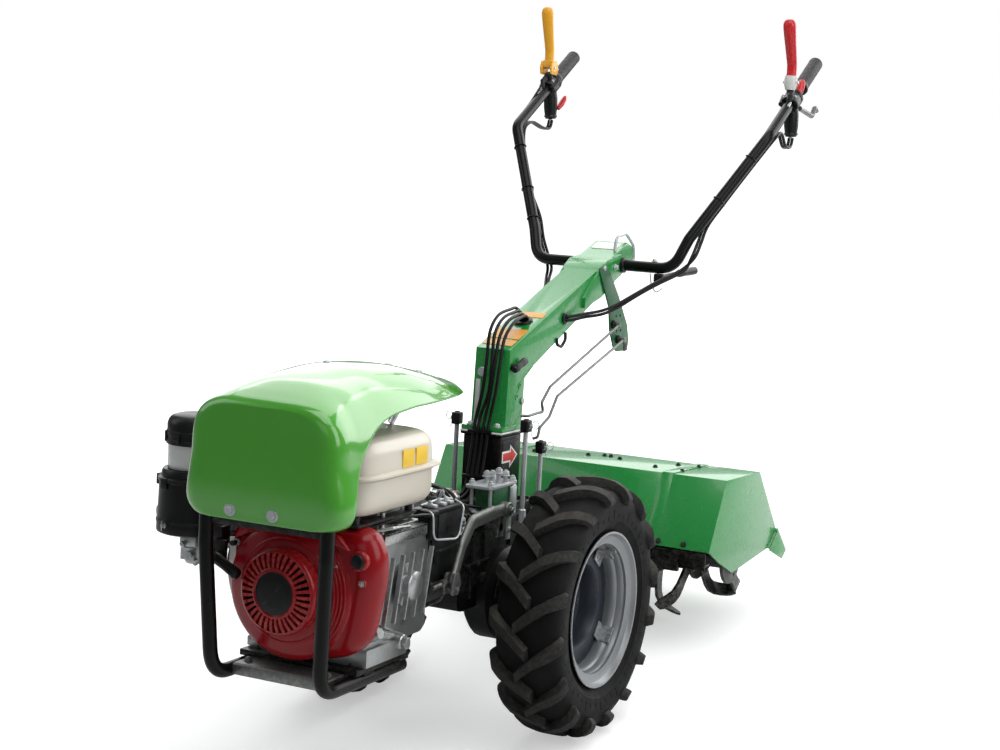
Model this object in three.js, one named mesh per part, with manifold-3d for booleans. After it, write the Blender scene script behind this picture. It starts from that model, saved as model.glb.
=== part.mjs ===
// Two-wheel walking tractor with a rear rotary tiller, in millimetres, +Z up.
// It is built level, with the wheel axle over the group's origin (x to the machine's left, y to its rear),
// and then pitched tail-down about X until the skid ahead of the tiller stands on the floor with the tyres.
import * as THREE from "three";
import { mergeVertices } from "three/addons/utils/BufferGeometryUtils.js";
import Module from "manifold-3d";

const wasm = await Module();
wasm.setup();

// ---------- driving dimensions ----------
const GAP = 0.3; // clearance between neighbouring pieces
const PARK_PITCH = THREE.MathUtils.degToRad(6.4); // tail-down lean as it stands

const TYRE_R = 255; // 5.00-10 tyre
const TYRE_W = 136;
const WHEEL_X = 256; // tyre's centre plane
const RIM_FLANGE_R = 153;
const RIM_SEAT_R = 128;
const RIM_W = 124;
const RIM_WALL = 3.5;
const DISC_X = 222; // wheel disc's centre, where the hub bolts on
const DISH_X = 262; // wheel disc's outer ring
const DISH_R = 84; // edge of the dish between them

const CRANK_Z = 363; // crankshaft height with the machine level
const ENGINE_BASE_Z = 231;
const ENGINE_FRONT_Y = -585;
const ENGINE_REAR_Y = -362;
const FAN_FRONT_Y = -645;
const STARTER_R = 76;
const HOOP_R = 13; // front hoop's tube
const HOOP_HALF_TOP = 122;
const HOOP_HALF_LOW = 110;
const HOOP_Y = -713;
const HOOP_LOW_Z = 206;
const HOOP_TOP_Z = 610;
const HOOP_REAR_Y = -428;

const COLUMN_Y = 110; // swivel axis of the handlebar column
const FLANGE_Z = 566; // joint face between the fixed and the turning column
const COLUMN_HALF = 39;
const ARM_TOP = [85, 731]; // front top edge of the box arm (y, z)
const ARM_END = [641, 937];
const BAR_R = 12.5; // handlebar tube
const BAR_Y = 606; // cross tube's axis
const BAR_Z = 888;
const BAR_HALF = 168;
const GRIP_X = 315;
const CABLE_R = 3.5;
const GRIP_R = 16;
const PERCH_TOP = 34; // lever seat above the bar

const ROTOR_Y = 660; // tiller shaft
const ROTOR_Z = 250;
const SHELL = 4; // hood sheet
const CORE_HALF = 197; // hood without its side extensions
const HOOD_HALF = 349;
const SKID_Y = 473; // depth skid ahead of the rotor

const FACETS = 24;
const WHEEL_FACETS = 32;
const BORE_EASE = 0.8; // a faceted bore around a faceted bar

// ---------- colours ----------
const paint = (name, color, roughness, metalness) =>
  Object.assign(new THREE.MeshStandardMaterial({ color, roughness, metalness }), { name });
const GREEN = paint("bright_green_plastic", 0x53b52e, 0.3, 0);
const DARK_GREEN = paint("green_paint", 0x1f7a3d, 0.4, 0.1);
const BLACK = paint("black_paint", 0x151615, 0.5, 0.1);
const CAST = paint("black_cast_iron", 0x1c1d1e, 0.65, 0.3);
const RED = paint("red_cover_paint", 0xb5201c, 0.35, 0.1);
const PLASTIC = paint("black_plastic", 0x1a1a1a, 0.45, 0);
const CREAM = paint("cream_tank_paint", 0xd8d2c4, 0.35, 0.05);
const ALLOY = paint("cast_aluminium", 0x9a9b9a, 0.5, 0.8);
const STEEL = paint("zinc_steel", 0xa9a9a5, 0.35, 0.9);
const RIM_GREY = paint("silver_rim_paint", 0xb9babb, 0.4, 0.5);
const RUBBER = paint("tyre_rubber", 0x161514, 0.85, 0);
const GRIP = paint("grip_rubber", 0x2a2a2a, 0.8, 0);
const YELLOW = paint("yellow_plastic", 0xe9a51b, 0.4, 0);
const LEVER_RED = paint("red_plastic", 0xc3201d, 0.4, 0);

// ---------- making solids ----------
function solid(geometry) {
  const g = (geometry.index ? geometry.toNonIndexed() : geometry).clone();
  for (const key of Object.keys(g.attributes)) {
    if (key !== "position") g.deleteAttribute(key);
  }
  const merged = mergeVertices(g, 1e-3);
  const mesh = new wasm.Mesh({
    numProp: 3,
    vertProperties: new Float32Array(merged.attributes.position.array),
    triVerts: new Uint32Array(merged.index.array),
  });
  return new wasm.Manifold(mesh);
}

const join = (...parts) => parts.flat(2).reduce((a, b) => a.add(b));
const cut = (body, ...tools) => tools.flat().reduce((a, b) => a.subtract(b), body);

function box(x0, x1, y0, y1, z0, z1) {
  const g = new THREE.BoxGeometry(x1 - x0, y1 - y0, z1 - z0);
  g.translate((x0 + x1) / 2, (y0 + y1) / 2, (z0 + z1) / 2);
  return solid(g);
}

// An outline of [u, v] points, extruded from a to b along an axis.
// axis "x": u = y, v = z.  axis "y": u = x, v = z.  axis "z": u = x, v = y.
function prism(outline, axis, a, b) {
  const shape = new THREE.Shape(outline.map(([u, v]) => new THREE.Vector2(u, v)));
  const g = new THREE.ExtrudeGeometry(shape, { depth: b - a, bevelEnabled: false });
  const m = new THREE.Matrix4();
  if (axis === "x") m.set(0, 0, 1, a, 1, 0, 0, 0, 0, 1, 0, 0, 0, 0, 0, 1);
  if (axis === "y") m.set(1, 0, 0, 0, 0, 0, -1, b, 0, 1, 0, 0, 0, 0, 0, 1);
  if (axis === "z") m.set(1, 0, 0, 0, 0, 1, 0, 0, 0, 0, 1, a, 0, 0, 0, 1);
  g.applyMatrix4(m);
  return solid(g);
}

// A rectangle with rounded corners as an outline.
function rounded(u0, u1, v0, v1, r, steps = 4) {
  const out = [];
  const corners = [[u1 - r, v0 + r, -90], [u1 - r, v1 - r, 0], [u0 + r, v1 - r, 90], [u0 + r, v0 + r, 180]];
  for (const [u, v, start] of corners) {
    for (let i = 0; i <= steps; i++) {
      const a = THREE.MathUtils.degToRad(start + (90 * i) / steps);
      out.push([u + r * Math.cos(a), v + r * Math.sin(a)]);
    }
  }
  return out;
}


// A closed profile of [radius, position] points turned about the X or Y axis.
function turned(profile, axis, y, z, n = FACETS) {
  const g = new THREE.LatheGeometry(profile.map(([r, p]) => new THREE.Vector2(r, p)), n);
  if (axis === "x") g.rotateZ(-Math.PI / 2);
  g.translate(0, axis === "x" ? y : 0, z);
  let s = solid(g);
  if (s.volume() < 0) {
    g.index.array.reverse();
    s = solid(g);
  }
  return s;
}

// A round bar from a to b.
function rod(a, b, r, n = 16, r2 = r) {
  const p = new THREE.Vector3(...a);
  const q = new THREE.Vector3(...b);
  const g = new THREE.CylinderGeometry(r2, r, p.distanceTo(q), n);
  const dir = q.clone().sub(p).normalize();
  g.applyQuaternion(new THREE.Quaternion().setFromUnitVectors(new THREE.Vector3(0, 1, 0), dir));
  g.translate((p.x + q.x) / 2, (p.y + q.y) / 2, (p.z + q.z) / 2);
  return solid(g);
}

// A path through corner points with each inner corner rounded at the given radius.
function filleted(points, radius) {
  const path = new THREE.CurvePath();
  const v = points.map((p) => new THREE.Vector3(...p));
  let from = v[0];
  for (let i = 1; i < v.length - 1; i++) {
    const back = v[i - 1].clone().sub(v[i]).normalize();
    const ahead = v[i + 1].clone().sub(v[i]).normalize();
    const half = back.angleTo(ahead) / 2;
    const set = Math.min(
      radius / Math.tan(half),
      v[i].distanceTo(v[i - 1]) * 0.48,
      v[i].distanceTo(v[i + 1]) * 0.48,
    );
    const p = v[i].clone().addScaledVector(back, set);
    const q = v[i].clone().addScaledVector(ahead, set);
    path.add(new THREE.LineCurve3(from, p));
    path.add(new THREE.QuadraticBezierCurve3(p, v[i], q));
    from = q;
  }
  path.add(new THREE.LineCurve3(from, v[v.length - 1]));
  return path;
}

// A solid round tube along a path with rounded corners.
function tube(points, r, radius, sides = 12, bend = 5) {
  const curve = filleted(points, radius);
  const pts = [];
  for (const c of curve.curves) {
    const n = c.isLineCurve3 ? 1 : bend;
    for (let i = 0; i < n; i++) pts.push(c.getPoint(i / n));
  }
  pts.push(curve.curves[curve.curves.length - 1].getPoint(1));
  return sweep(pts, r, sides);
}

// A round section carried through points, each ring square to the path, with flat ends.
function sweep(pts, r, sides) {
  const n = pts.length;
  const tangents = pts.map((p, i) =>
    pts[Math.min(i + 1, n - 1)].clone().sub(pts[Math.max(i - 1, 0)]).normalize(),
  );
  let normal = new THREE.Vector3(1, 0, 0);
  if (Math.abs(tangents[0].x) > 0.9) normal = new THREE.Vector3(0, 0, 1);
  const position = [];
  const index = [];
  for (let i = 0; i < n; i++) {
    const t = tangents[i];
    normal = normal.clone().addScaledVector(t, -normal.dot(t)).normalize();
    const side = t.clone().cross(normal);
    for (let k = 0; k < sides; k++) {
      const a = (2 * Math.PI * k) / sides;
      const p = pts[i].clone().addScaledVector(normal, r * Math.cos(a)).addScaledVector(side,
        r * Math.sin(a));
      position.push(p.x, p.y, p.z);
    }
  }
  for (let i = 0; i < n - 1; i++) {
    for (let k = 0; k < sides; k++) {
      const a = i * sides + k;
      const b = i * sides + ((k + 1) % sides);
      index.push(a, b, b + sides, a, b + sides, a + sides);
    }
  }
  const last = (n - 1) * sides;
  for (let k = 1; k < sides - 1; k++) {
    index.push(0, k + 1, k, last, last + k, last + k + 1);
  }
  const g = new THREE.BufferGeometry();
  g.setAttribute("position", new THREE.BufferAttribute(new Float32Array(position), 3));
  g.setIndex(index);
  return solid(g);
}

// A skin through closed sections with the same number of points, first and last capped.
function loft(sections) {
  const m = sections[0].length;
  const position = sections.flat().flat();
  const index = [];
  for (let i = 0; i < sections.length - 1; i++) {
    for (let k = 0; k < m; k++) {
      const a = i * m + k;
      const b = i * m + ((k + 1) % m);
      index.push(a, b, b + m, a, b + m, a + m);
    }
  }
  const ends = [0, sections.length - 1];
  for (const end of ends) {
    const ring = sections[end].map(([x, , z]) => new THREE.Vector2(x, z));
    for (const [a, b, c] of THREE.ShapeUtils.triangulateShape(ring, [])) {
      const o = end * m;
      index.push(...(end === 0 ? [o + a, o + c, o + b] : [o + a, o + b, o + c]));
    }
  }
  const g = new THREE.BufferGeometry();
  g.setAttribute("position", new THREE.BufferAttribute(new Float32Array(position), 3));
  g.setIndex(index);
  let s = solid(g);
  if (s.volume() < 0) {
    g.setIndex(index.reverse());
    s = solid(g);
  }
  return s;
}

// A control cable through the given points, as a round strand.
function strand(points, steps, r = CABLE_R) {
  const curve = new THREE.CatmullRomCurve3(points.map((p) => new THREE.Vector3(...p)));
  return sweep(curve.getSpacedPoints(steps), r, 8);
}

const machine = new THREE.Group();
machine.name = "walking_tractor";
const vehicle = new THREE.Group();
machine.add(vehicle);

function add(name, body, material) {
  const data = body.getMesh();
  const n = data.numProp;
  const position = new Float32Array(data.numVert * 3);
  for (let i = 0; i < data.numVert; i++) {
    position.set(data.vertProperties.subarray(i * n, i * n + 3), i * 3);
  }
  const g = new THREE.BufferGeometry();
  g.setAttribute("position", new THREE.BufferAttribute(position, 3));
  g.setIndex(new THREE.BufferAttribute(new Uint32Array(data.triVerts), 1));
  g.computeVertexNormals();
  const mesh = new THREE.Mesh(g, material.clone());
  mesh.name = name;
  vehicle.add(mesh);
  return mesh;
}

const mirrored = (body) => body.mirror([1, 0, 0]);

// ---------- wheels ----------
const rimOut = WHEEL_X + RIM_W / 2;
const rimIn = WHEEL_X - RIM_W / 2;
const bead = RIM_FLANGE_R + GAP;
function tyreSolid() {
  const h = TYRE_W / 2;
  return turned(
    [
      [RIM_SEAT_R + GAP, rimIn + 10],
      [bead, rimIn + 8],
      [bead + 8, rimIn + 2],
      [205, WHEEL_X - h],
      [236, WHEEL_X - h + 9],
      [TYRE_R - 4, WHEEL_X - h + 26],
      [TYRE_R, WHEEL_X],
      [TYRE_R - 4, WHEEL_X + h - 26],
      [236, WHEEL_X + h - 9],
      [205, WHEEL_X + h],
      [bead + 8, rimOut - 2],
      [bead, rimOut - 8],
      [RIM_SEAT_R + GAP, rimOut - 10],
      [RIM_SEAT_R + GAP, rimIn + 10],
    ],
    "x", 0, TYRE_R, WHEEL_FACETS,
  );
}

function rimSolid() {
  const s = RIM_SEAT_R;
  const w = RIM_WALL;
  const barrel = turned(
    [
      [s - w, rimIn + 6],
      [RIM_FLANGE_R - w, rimIn + 3],
      [RIM_FLANGE_R, rimIn],
      [RIM_FLANGE_R, rimIn + w],
      [s, rimIn + 6 + w],
      [s, rimOut - 10 - w],
      [RIM_FLANGE_R - 6, rimOut - 8],
      [RIM_FLANGE_R, rimOut - w],
      [RIM_FLANGE_R, rimOut],
      [RIM_FLANGE_R - w, rimOut],
      [RIM_FLANGE_R - 11, rimOut - 12],
      [s + 2, rimOut - 17],
      [s - w, rimOut - 28],
      [s - w - 4, rimOut - 34],
      [s - w - 4, rimIn + 30],
      [s - w, rimIn + 22],
      [s - w, rimIn + 6],
    ],
    "x", 0, TYRE_R, WHEEL_FACETS,
  );
  const disc = turned(
    [
      [34, DISC_X - 2],
      [DISH_R - 10, DISC_X - 2],
      [DISH_R, DISH_X - 2],
      [s - w - 2, DISH_X - 2],
      [s - w - 2, DISH_X + 3],
      [DISH_R - 4, DISH_X + 3],
      [DISH_R - 14, DISC_X + 3],
      [34, DISC_X + 3],
      [34, DISC_X - 2],
    ],
    "x", 0, TYRE_R, WHEEL_FACETS,
  );
  return join(barrel, disc);
}

function hubSolid() {
  return turned(
    [
      [0, 186 + GAP],
      [31, 186 + GAP],
      [31, DISC_X - 16],
      [60, DISC_X - 14],
      [60, DISC_X - 2 - GAP],
      [33, DISC_X - 2 - GAP],
      [33, DISC_X + 12],
      [24, DISC_X + 24],
      [0, DISC_X + 24],
    ],
    "x", 0, TYRE_R,
  );
}

for (const [side, flip] of [["left", (b) => b], ["right", mirrored]]) {
  add(`tyre_${side}`, flip(tyreSolid()), RUBBER);
  add(`rim_${side}`, flip(rimSolid()), RIM_GREY);
  add(`hub_${side}`, flip(hubSolid()), CAST);
}

// ---------- gearbox, bell housing, axle ----------
const AXLE_Z = TYRE_R;
const GEAR_TOP = 400;
const PTO_Z = 330;
const PTO_FACE = 206;
const bellRear = -165;
add(
  "gearbox",
  join(
    prism(rounded(bellRear + GAP, 118, 242, GEAR_TOP, 18), "x", -78, 78),
    prism(rounded(-150, 205, 330, GEAR_TOP + 14, 12), "x", -58, 58),
    turned([[0, 42], [82, 42], [94, 54], [94, 98], [82, 108], [0, 108]], "x", 8, AXLE_Z),
    turned(
      [[0, -186], [62, -186], [62, -172], [44, -168], [50, -70], [50, 70], [44, 168], [62, 172],
      [62, 186], [0, 186]],
      "x", 0, AXLE_Z,
    ),
    rod([0, 100, PTO_Z], [0, PTO_FACE, PTO_Z], 60, FACETS),
  ),
  CAST,
);
add(
  "bell_housing",
  turned(
    [[0, ENGINE_REAR_Y + GAP], [122, ENGINE_REAR_Y + GAP], [122, -346], [116, -340], [112, -235],
    [84, bellRear], [0, bellRear]],
    "y", 0, CRANK_Z,
  ),
  CAST,
);

// ---------- engine ----------
const HEAD_TILT = THREE.MathUtils.degToRad(25);
function leaning(body) {
  // A block drawn about the crankshaft with the cylinder along -X, tilted up at its outer end.
  return body.rotate([0, THREE.MathUtils.radToDeg(HEAD_TILT), 0]).translate([0, 0, CRANK_Z]);
}
add(
  "engine_block",
  join(
    prism(rounded(ENGINE_FRONT_Y + GAP, ENGINE_REAR_Y, 256, 446, 20), "x", -98, 118),
    box(-112, 128, -580, -442, ENGINE_BASE_Z, 262),
    leaning(box(-205, -60, -500, -364, -66, 66)),
    leaning(box(-262, -205, -508, -364, -74, 74)),
    box(-60, 90, -500, -420, 440, 500 - GAP),
  ),
  ALLOY,
);
const fanOutline = [
  [-46, 242], [0, 236], [56, 242], [112, 258], [144, 290], [160, 350], [168, 405], [162, 448], [142, 476],
  [-70, 482], [-126, 458], [-148, 410], [-149, 372], [-136, 322], [-104, 274],
];
add(
  "fan_cover",
  join(
    prism(fanOutline, "y", -632, ENGINE_FRONT_Y),
    turned([[0, -632], [122, -632], [114, FAN_FRONT_Y - 2], [88, FAN_FRONT_Y - 6],
      [0, FAN_FRONT_Y - 6]], "y", 0, CRANK_Z),
  ),
  RED,
);
add(
  "recoil_starter",
  turned(
    [[0, -686], [20, -686], [24, -680], [STARTER_R - 6, -676], [STARTER_R, -668],
    [STARTER_R, FAN_FRONT_Y - 6 - GAP], [0, FAN_FRONT_Y - 6 - GAP]],
    "y", 0, CRANK_Z,
  ),
  PLASTIC,
);
add(
  "starter_grip",
  join(rod([-140, -668, 409], [-84, -668, 380], 10, 12), box(-142, -126, -662, -632 - GAP, 393, 409)),
  PLASTIC,
);
const TANK_FLANGE_Z = 568;
const TANK_TOP_Z = 632;
add(
  "fuel_tank",
  join(
    prism(rounded(-128, 140, 500, TANK_FLANGE_Z, 26), "y", -640, -402),
    prism(rounded(-128, 140, TANK_FLANGE_Z - 30, TANK_TOP_Z, 30), "y", -640, -402),
    prism(rounded(-140, 152, -648, -388, 30), "z", TANK_FLANGE_Z - 2, TANK_FLANGE_Z + 3),
  ),
  CREAM,
);
add("fuel_cap", rod([10, -540, TANK_TOP_Z + GAP], [10, -540, TANK_TOP_Z + 30], 30, 24), PLASTIC);
const AIR_X = -248;
const AIR_Y = -576;
const AIR_LOW = 421;
const AIR_TOP = 538;
add(
  "air_cleaner",
  join(
    rod([AIR_X, AIR_Y, AIR_LOW], [AIR_X, AIR_Y, AIR_TOP - 18], 67, 24, 63),
    rod([AIR_X, AIR_Y, AIR_TOP - 19], [AIR_X, AIR_Y, AIR_TOP], 60, 24),
  ),
  PLASTIC,
);
add(
  "precleaner",
  join(
    rod([AIR_X, AIR_Y, AIR_TOP + GAP], [AIR_X, AIR_Y, 585], 50, 24),
    rod([AIR_X, AIR_Y, 584], [AIR_X, AIR_Y, 622], 53, 24),
    rod([AIR_X, AIR_Y, 621], [AIR_X, AIR_Y, 637], 53, 24, 36),
  ),
  PLASTIC,
);
add(
  "carburettor",
  join(
    rod([-240, AIR_Y, 378], [-240, AIR_Y, AIR_LOW - GAP], 24, 16),
    rod([-218, AIR_Y, 402], [-218, -508 - GAP, 402], 18, 12),
    box(-256, -226, AIR_Y - 26, AIR_Y + 20, 374, 396),
  ),
  ALLOY,
);
add(
  "muffler",
  join(
    prism(rounded(-275, -140, 420, 545, 28), "y", -343, -262),
    rod([-205, -263, 500], [-205, -228, 500], 14, 14),
    box(-225, -185, -364 + GAP, -342, 455, 495),
  ),
  STEEL,
);
add(
  "engine_sump_plate",
  box(-122, 122, -600, HOOP_REAR_Y, HOOP_LOW_Z + HOOP_R + GAP, ENGINE_BASE_Z - GAP),
  BLACK,
);

// ---------- front hoop ----------
const hoopSide = (s) => [
  [s * HOOP_HALF_LOW, HOOP_REAR_Y, HOOP_LOW_Z],
  [s * HOOP_HALF_LOW, HOOP_Y + 12, HOOP_LOW_Z],
  [s * HOOP_HALF_TOP, HOOP_Y, 440],
  [s * HOOP_HALF_TOP, HOOP_Y, HOOP_TOP_Z],
];
add(
  "front_hoop",
  join(
    tube([...hoopSide(-1), ...hoopSide(1).reverse()], HOOP_R, 52, 10, 5),
    box(-118, 118, -718, -708, 476, 516),
    box(-100, 100, -652, -600, HOOP_LOW_Z - 8, HOOP_LOW_Z + HOOP_R),
    box(-84, 84, -655, -651, HOOP_LOW_Z - 6, HOOP_LOW_Z + HOOP_R - 1),
    box(-110, 110, -444, HOOP_REAR_Y - 2, HOOP_LOW_Z - 4, HOOP_LOW_Z + HOOP_R),
  ),
  BLACK,
);

// ---------- bonnet ----------
// Stations from the nose to the tail: y, half-width below, half-width at the shoulder line, top,
// shoulder line's height, and how square the shoulders are.
const bonnetStations = [
  [-745, 128, 117, 690, 610, 3.2],
  [-738, 148, 136, 699, 606, 3.1],
  [-724, 160, 149, 706, 600, 2.9],
  [-700, 165, 152, 718, 598, 2.5],
  [-660, 167, 152, 733, 598, 2.25],
  [-600, 166, 150, 742, 600, 2.25],
  [-520, 163, 146, 747, 604, 2.4],
  [-410, 155, 138, 741, 612, 2.5],
  [-300, 137, 120, 723, 622, 2.5],
  [-210, 111, 94, 704, 630, 2.4],
  [-140, 81, 66, 688, 636, 2.3],
  [-98, 51, 40, 675, 646, 2.2],
  [-80, 27, 20, 668, 652, 2.1],
];
const BONNET_LOW_Z = 492;
const BONNET_WALL = 5;
const SHOULDER_STEPS = 8;
function bonnetSection([y, low, high, top, shoulder, square], inset, bottom) {
  const wl = low - inset;
  const wh = high - inset;
  const half = [[wl - 26, bottom], [wl - 8, bottom + 9], [wl, bottom + 34]];
  for (let i = 0; i < SHOULDER_STEPS; i++) {
    const a = (Math.PI / 2) * (i / SHOULDER_STEPS);
    const u = Math.cos(a) ** (2 / square);
    const v = Math.sin(a) ** (2 / square);
    half.push([wh * u, shoulder + (top - inset - shoulder) * v]);
  }
  const left = half.map(([x, z]) => [x, y, z]);
  const right = half.map(([x, z]) => [-x, y, z]).reverse();
  return [...left, [0, y, top - inset], ...right];
}
const bonnetOuter = loft(bonnetStations.map((s) => bonnetSection(s, 0, BONNET_LOW_Z)));
const noseShift = [6, 4, 2]; // the inner skin starts a wall's thickness behind the nose
const bonnetInner = loft(
  bonnetStations.slice(0, -1).map(([y, ...rest], i) =>
    bonnetSection([y + (noseShift[i] ?? 0), ...rest], BONNET_WALL, BONNET_LOW_Z - 40),
  ),
);
const skirt = [
  [-700, 300], [-700, 508], [-690, 545], [-668, 595], [-638, 630], [-592, 658], [-540, 670], [-450, 676],
  [-300, 674], [-150, 667], [-90, 662], [0, 658], [0, 300],
];
const hoopFace = HOOP_Y - HOOP_R - GAP;
const bonnetBosses = [1, -1].map((s) => box(s * 72 - 12, s * 72 + 12, -743, hoopFace, HOOP_TOP_Z - 10,
  HOOP_TOP_Z + 10));
add(
  "bonnet",
  join(cut(bonnetOuter, bonnetInner, prism(skirt, "x", -260, 260)), bonnetBosses),
  GREEN,
);

// ---------- fixed column and controls on the gearbox ----------
add(
  "lower_column",
  join(
    box(-43, 43, COLUMN_Y - 56, COLUMN_Y + 38, GEAR_TOP + 14 + GAP, FLANGE_Z - 9),
    box(-47, 47, COLUMN_Y - 62, COLUMN_Y + 42, FLANGE_Z - 10, FLANGE_Z),
  ),
  BLACK,
);
function gearLever(x, y, knobZ) {
  return join(
    rod([x, y, 404], [x, y, knobZ - 10], 5, 10),
    box(x - 9, x + 9, y - 11, y + 11, knobZ - 13, knobZ + 13),
  );
}
const LEVER_BASE = GEAR_TOP + 14;
add("gear_lever_range", join(gearLever(80, 92, 581), box(78 + GAP, 92, 80, 104, 372, LEVER_BASE)), BLACK);
add("gear_lever_speed", join(gearLever(70, 186, 526), box(58 + GAP, 84, 176, 198, 360, LEVER_BASE)), BLACK);
add("pto_lever", join(gearLever(-80, 94, 580), box(-92, -78 - GAP, 80, 104, 330, 410), box(-92, -72, 84,
  102, 403, 414)), BLACK);
add(
  "clutch_lever",
  join(
    tube([[116, -60, 436], [120, -120, 436], [124, -216, 430], [130, -254, 394],
      [132, -288, 330]], 9, 24, 10, 4),
    box(122, 142, -304, -278, 316, 344),
    box(78 + GAP, 122, -72, -48, 380, 392),
    box(110, 122, -72, -48, 380, 447),
  ),
  STEEL,
);
add(
  "selector_block",
  join(
    box(50, 100, -78, 6, GEAR_TOP + 14 + GAP, 470),
    box(44, 102, -92, 24, 474, 482),
    box(62, 100, -70, 0, 470, 488),
    rod([70, -50, 480], [70, -50, 512], 7, 10),
    rod([92, -50, 480], [92, -50, 512], 7, 10),
    rod([92, -12, 480], [92, -12, 508], 7, 10),
  ),
  DARK_GREEN,
);
const bellProfile = (e) => [
  [0, ENGINE_REAR_Y + GAP - e], [122 + e, ENGINE_REAR_Y + GAP - e], [122 + e, -346 + e],
  [116 + e, -340 + e], [112 + e, -235],
  [84 + e, bellRear + e], [0, bellRear + e],
];
const bellRoom = turned(bellProfile(GAP), "y", 0, CRANK_Z);
add(
  "inspection_cap",
  join(
    rod([35, -158, 430], [35, -158, 462], 27, 24),
    rod([35, -158, 458], [35, -158, 474], 30, 24, 24),
  ).subtract(bellRoom),
  STEEL,
);
add("linkage_box", join(box(86, 132, -350, -264, 424, 478), box(70, 92, -330, -284, 400,
  440)).subtract(bellRoom), PLASTIC);

// ---------- turning column and arm ----------
const armBody = prism(
  [
    [COLUMN_Y - 32, FLANGE_Z + GAP + 8], [COLUMN_Y + 42, FLANGE_Z + GAP + 8], [COLUMN_Y + 46, 668],
    [196, 692], [300, 736], [403, 779], [560, 846], [610, 862], [676, 893], [674, 926],
    [ARM_END[0], ARM_END[1]],
    ARM_TOP,
  ],
  "x", -COLUMN_HALF, COLUMN_HALF,
);
const armHollow = prism(
  [[COLUMN_Y - 22, 600], [COLUMN_Y + 36, 600], [COLUMN_Y + 41, 673], [196, 698], [403, 785], [560, 852],
  [575, 858], [575, 902], [92, 724]],
  "x", -COLUMN_HALF + 4, COLUMN_HALF - 4,
);
const grommetHole = rod([0, 231.9, 742.5], [0, 211, 799], 15, 16);
const sideHole = rod([-60, 330, 782], [60, 330, 782], 10, 14);
const barHole = rod([-60, BAR_Y, BAR_Z], [60, BAR_Y, BAR_Z], BAR_R + GAP, 24);
add(
  "steering_arm",
  cut(
    join(
      armBody,
      box(-46, 46, COLUMN_Y - 60, COLUMN_Y + 42, FLANGE_Z + GAP, FLANGE_Z + 9),
      prism([[417, 800], [417, 822], [487, 881], [520, 900], [600, 912], [600, 868],
        [500, 820]], "x", -46, 46),
    ),
    barHole,
    armHollow,
    grommetHole,
    sideHole,
  ),
  DARK_GREEN,
);
add(
  "lever_plate",
  join(
    prism([[487, 886], [512, 874], [575, 800], [648, 712], [640, 698], [606, 702], [562, 760],
      [540, 800], [480, 868]], "x", 46 + GAP, 50),
    rod([50, 560, 757], [62, 560, 757], 6, 10),
    rod([50, 590, 722], [62, 590, 722], 6, 10),
  ),
  DARK_GREEN,
);
add(
  "column_lock_lever",
  join(
    rod([COLUMN_HALF + GAP, 96, 696], [56, 96, 696], 8, 12),
    rod([50, 88, 692], [50, 134, 708], 7, 12),
  ),
  PLASTIC,
);
add(
  "link_rod_range",
  tube([[78, 92, 600], [78, 116, 600], [75, 178, 597], [75, 162, 622], [74, 206, 650],
    [66, 560, 757]], 3, 10, 8, 3)
    .add(rod([62 + GAP, 560, 757], [70, 560, 757], 5, 10)),
  STEEL,
);
add(
  "link_rod_speed",
  tube([[70, 161, 545], [72, 172, 568], [72, 214, 586], [70, 252, 626], [66, 590, 722]], 3, 10, 8, 3)
    .add(rod([62 + GAP, 590, 722], [70, 590, 722], 5, 10)),
  STEEL,
);

// ---------- handlebar ----------
const GRIP_END = [1050, 1367];
const GRIP_BEND = [757, 1188];
const barPath = (s) => [
  [s * BAR_HALF, BAR_Y, BAR_Z],
  [s * 191, 632, 955],
  [s * GRIP_X, ...GRIP_BEND],
  [s * GRIP_X, ...GRIP_END],
];
add(
  "handlebar",
  tube([...barPath(-1).reverse(), ...barPath(1)], BAR_R, 46, 12, 4),
  BLACK,
);
const gripDir = new THREE.Vector3(0, GRIP_END[0] - GRIP_BEND[0], GRIP_END[1] - GRIP_BEND[1]).normalize();
const alongGrip = (s, d, up = 0, out = 0) => {
  const p = new THREE.Vector3(s * GRIP_X, ...GRIP_END).addScaledVector(gripDir, d);
  p.addScaledVector(new THREE.Vector3(0, -gripDir.z, gripDir.y), up);
  return [p.x + out, p.y, p.z];
};
for (const [side, s] of [["left", 1], ["right", -1]]) {
  add(
    `grip_${side}`,
    cut(
      rod(alongGrip(s, -118), alongGrip(s, 6), GRIP_R, 20),
      rod(alongGrip(s, -130), alongGrip(s, GAP), BAR_R + BORE_EASE, 20),
    ),
    GRIP,
  );
}
// A lever perch clamped round the bar, with the control housing that hangs below it.
function perch(s, d) {
  const ring = rod(alongGrip(s, d - 22), alongGrip(s, d + 20), BAR_R + 9, 16);
  const housing = rod(alongGrip(s, d - 6, -12), alongGrip(s, d - 34, -74), 17, 12);
  const post = rod(alongGrip(s, d, BAR_R + 2), alongGrip(s, d, PERCH_TOP), 10, 12);
  return cut(join(ring, housing, post),
    rod(alongGrip(s, d - 60), alongGrip(s, d + 60), BAR_R + BORE_EASE, 20));
}
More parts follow.
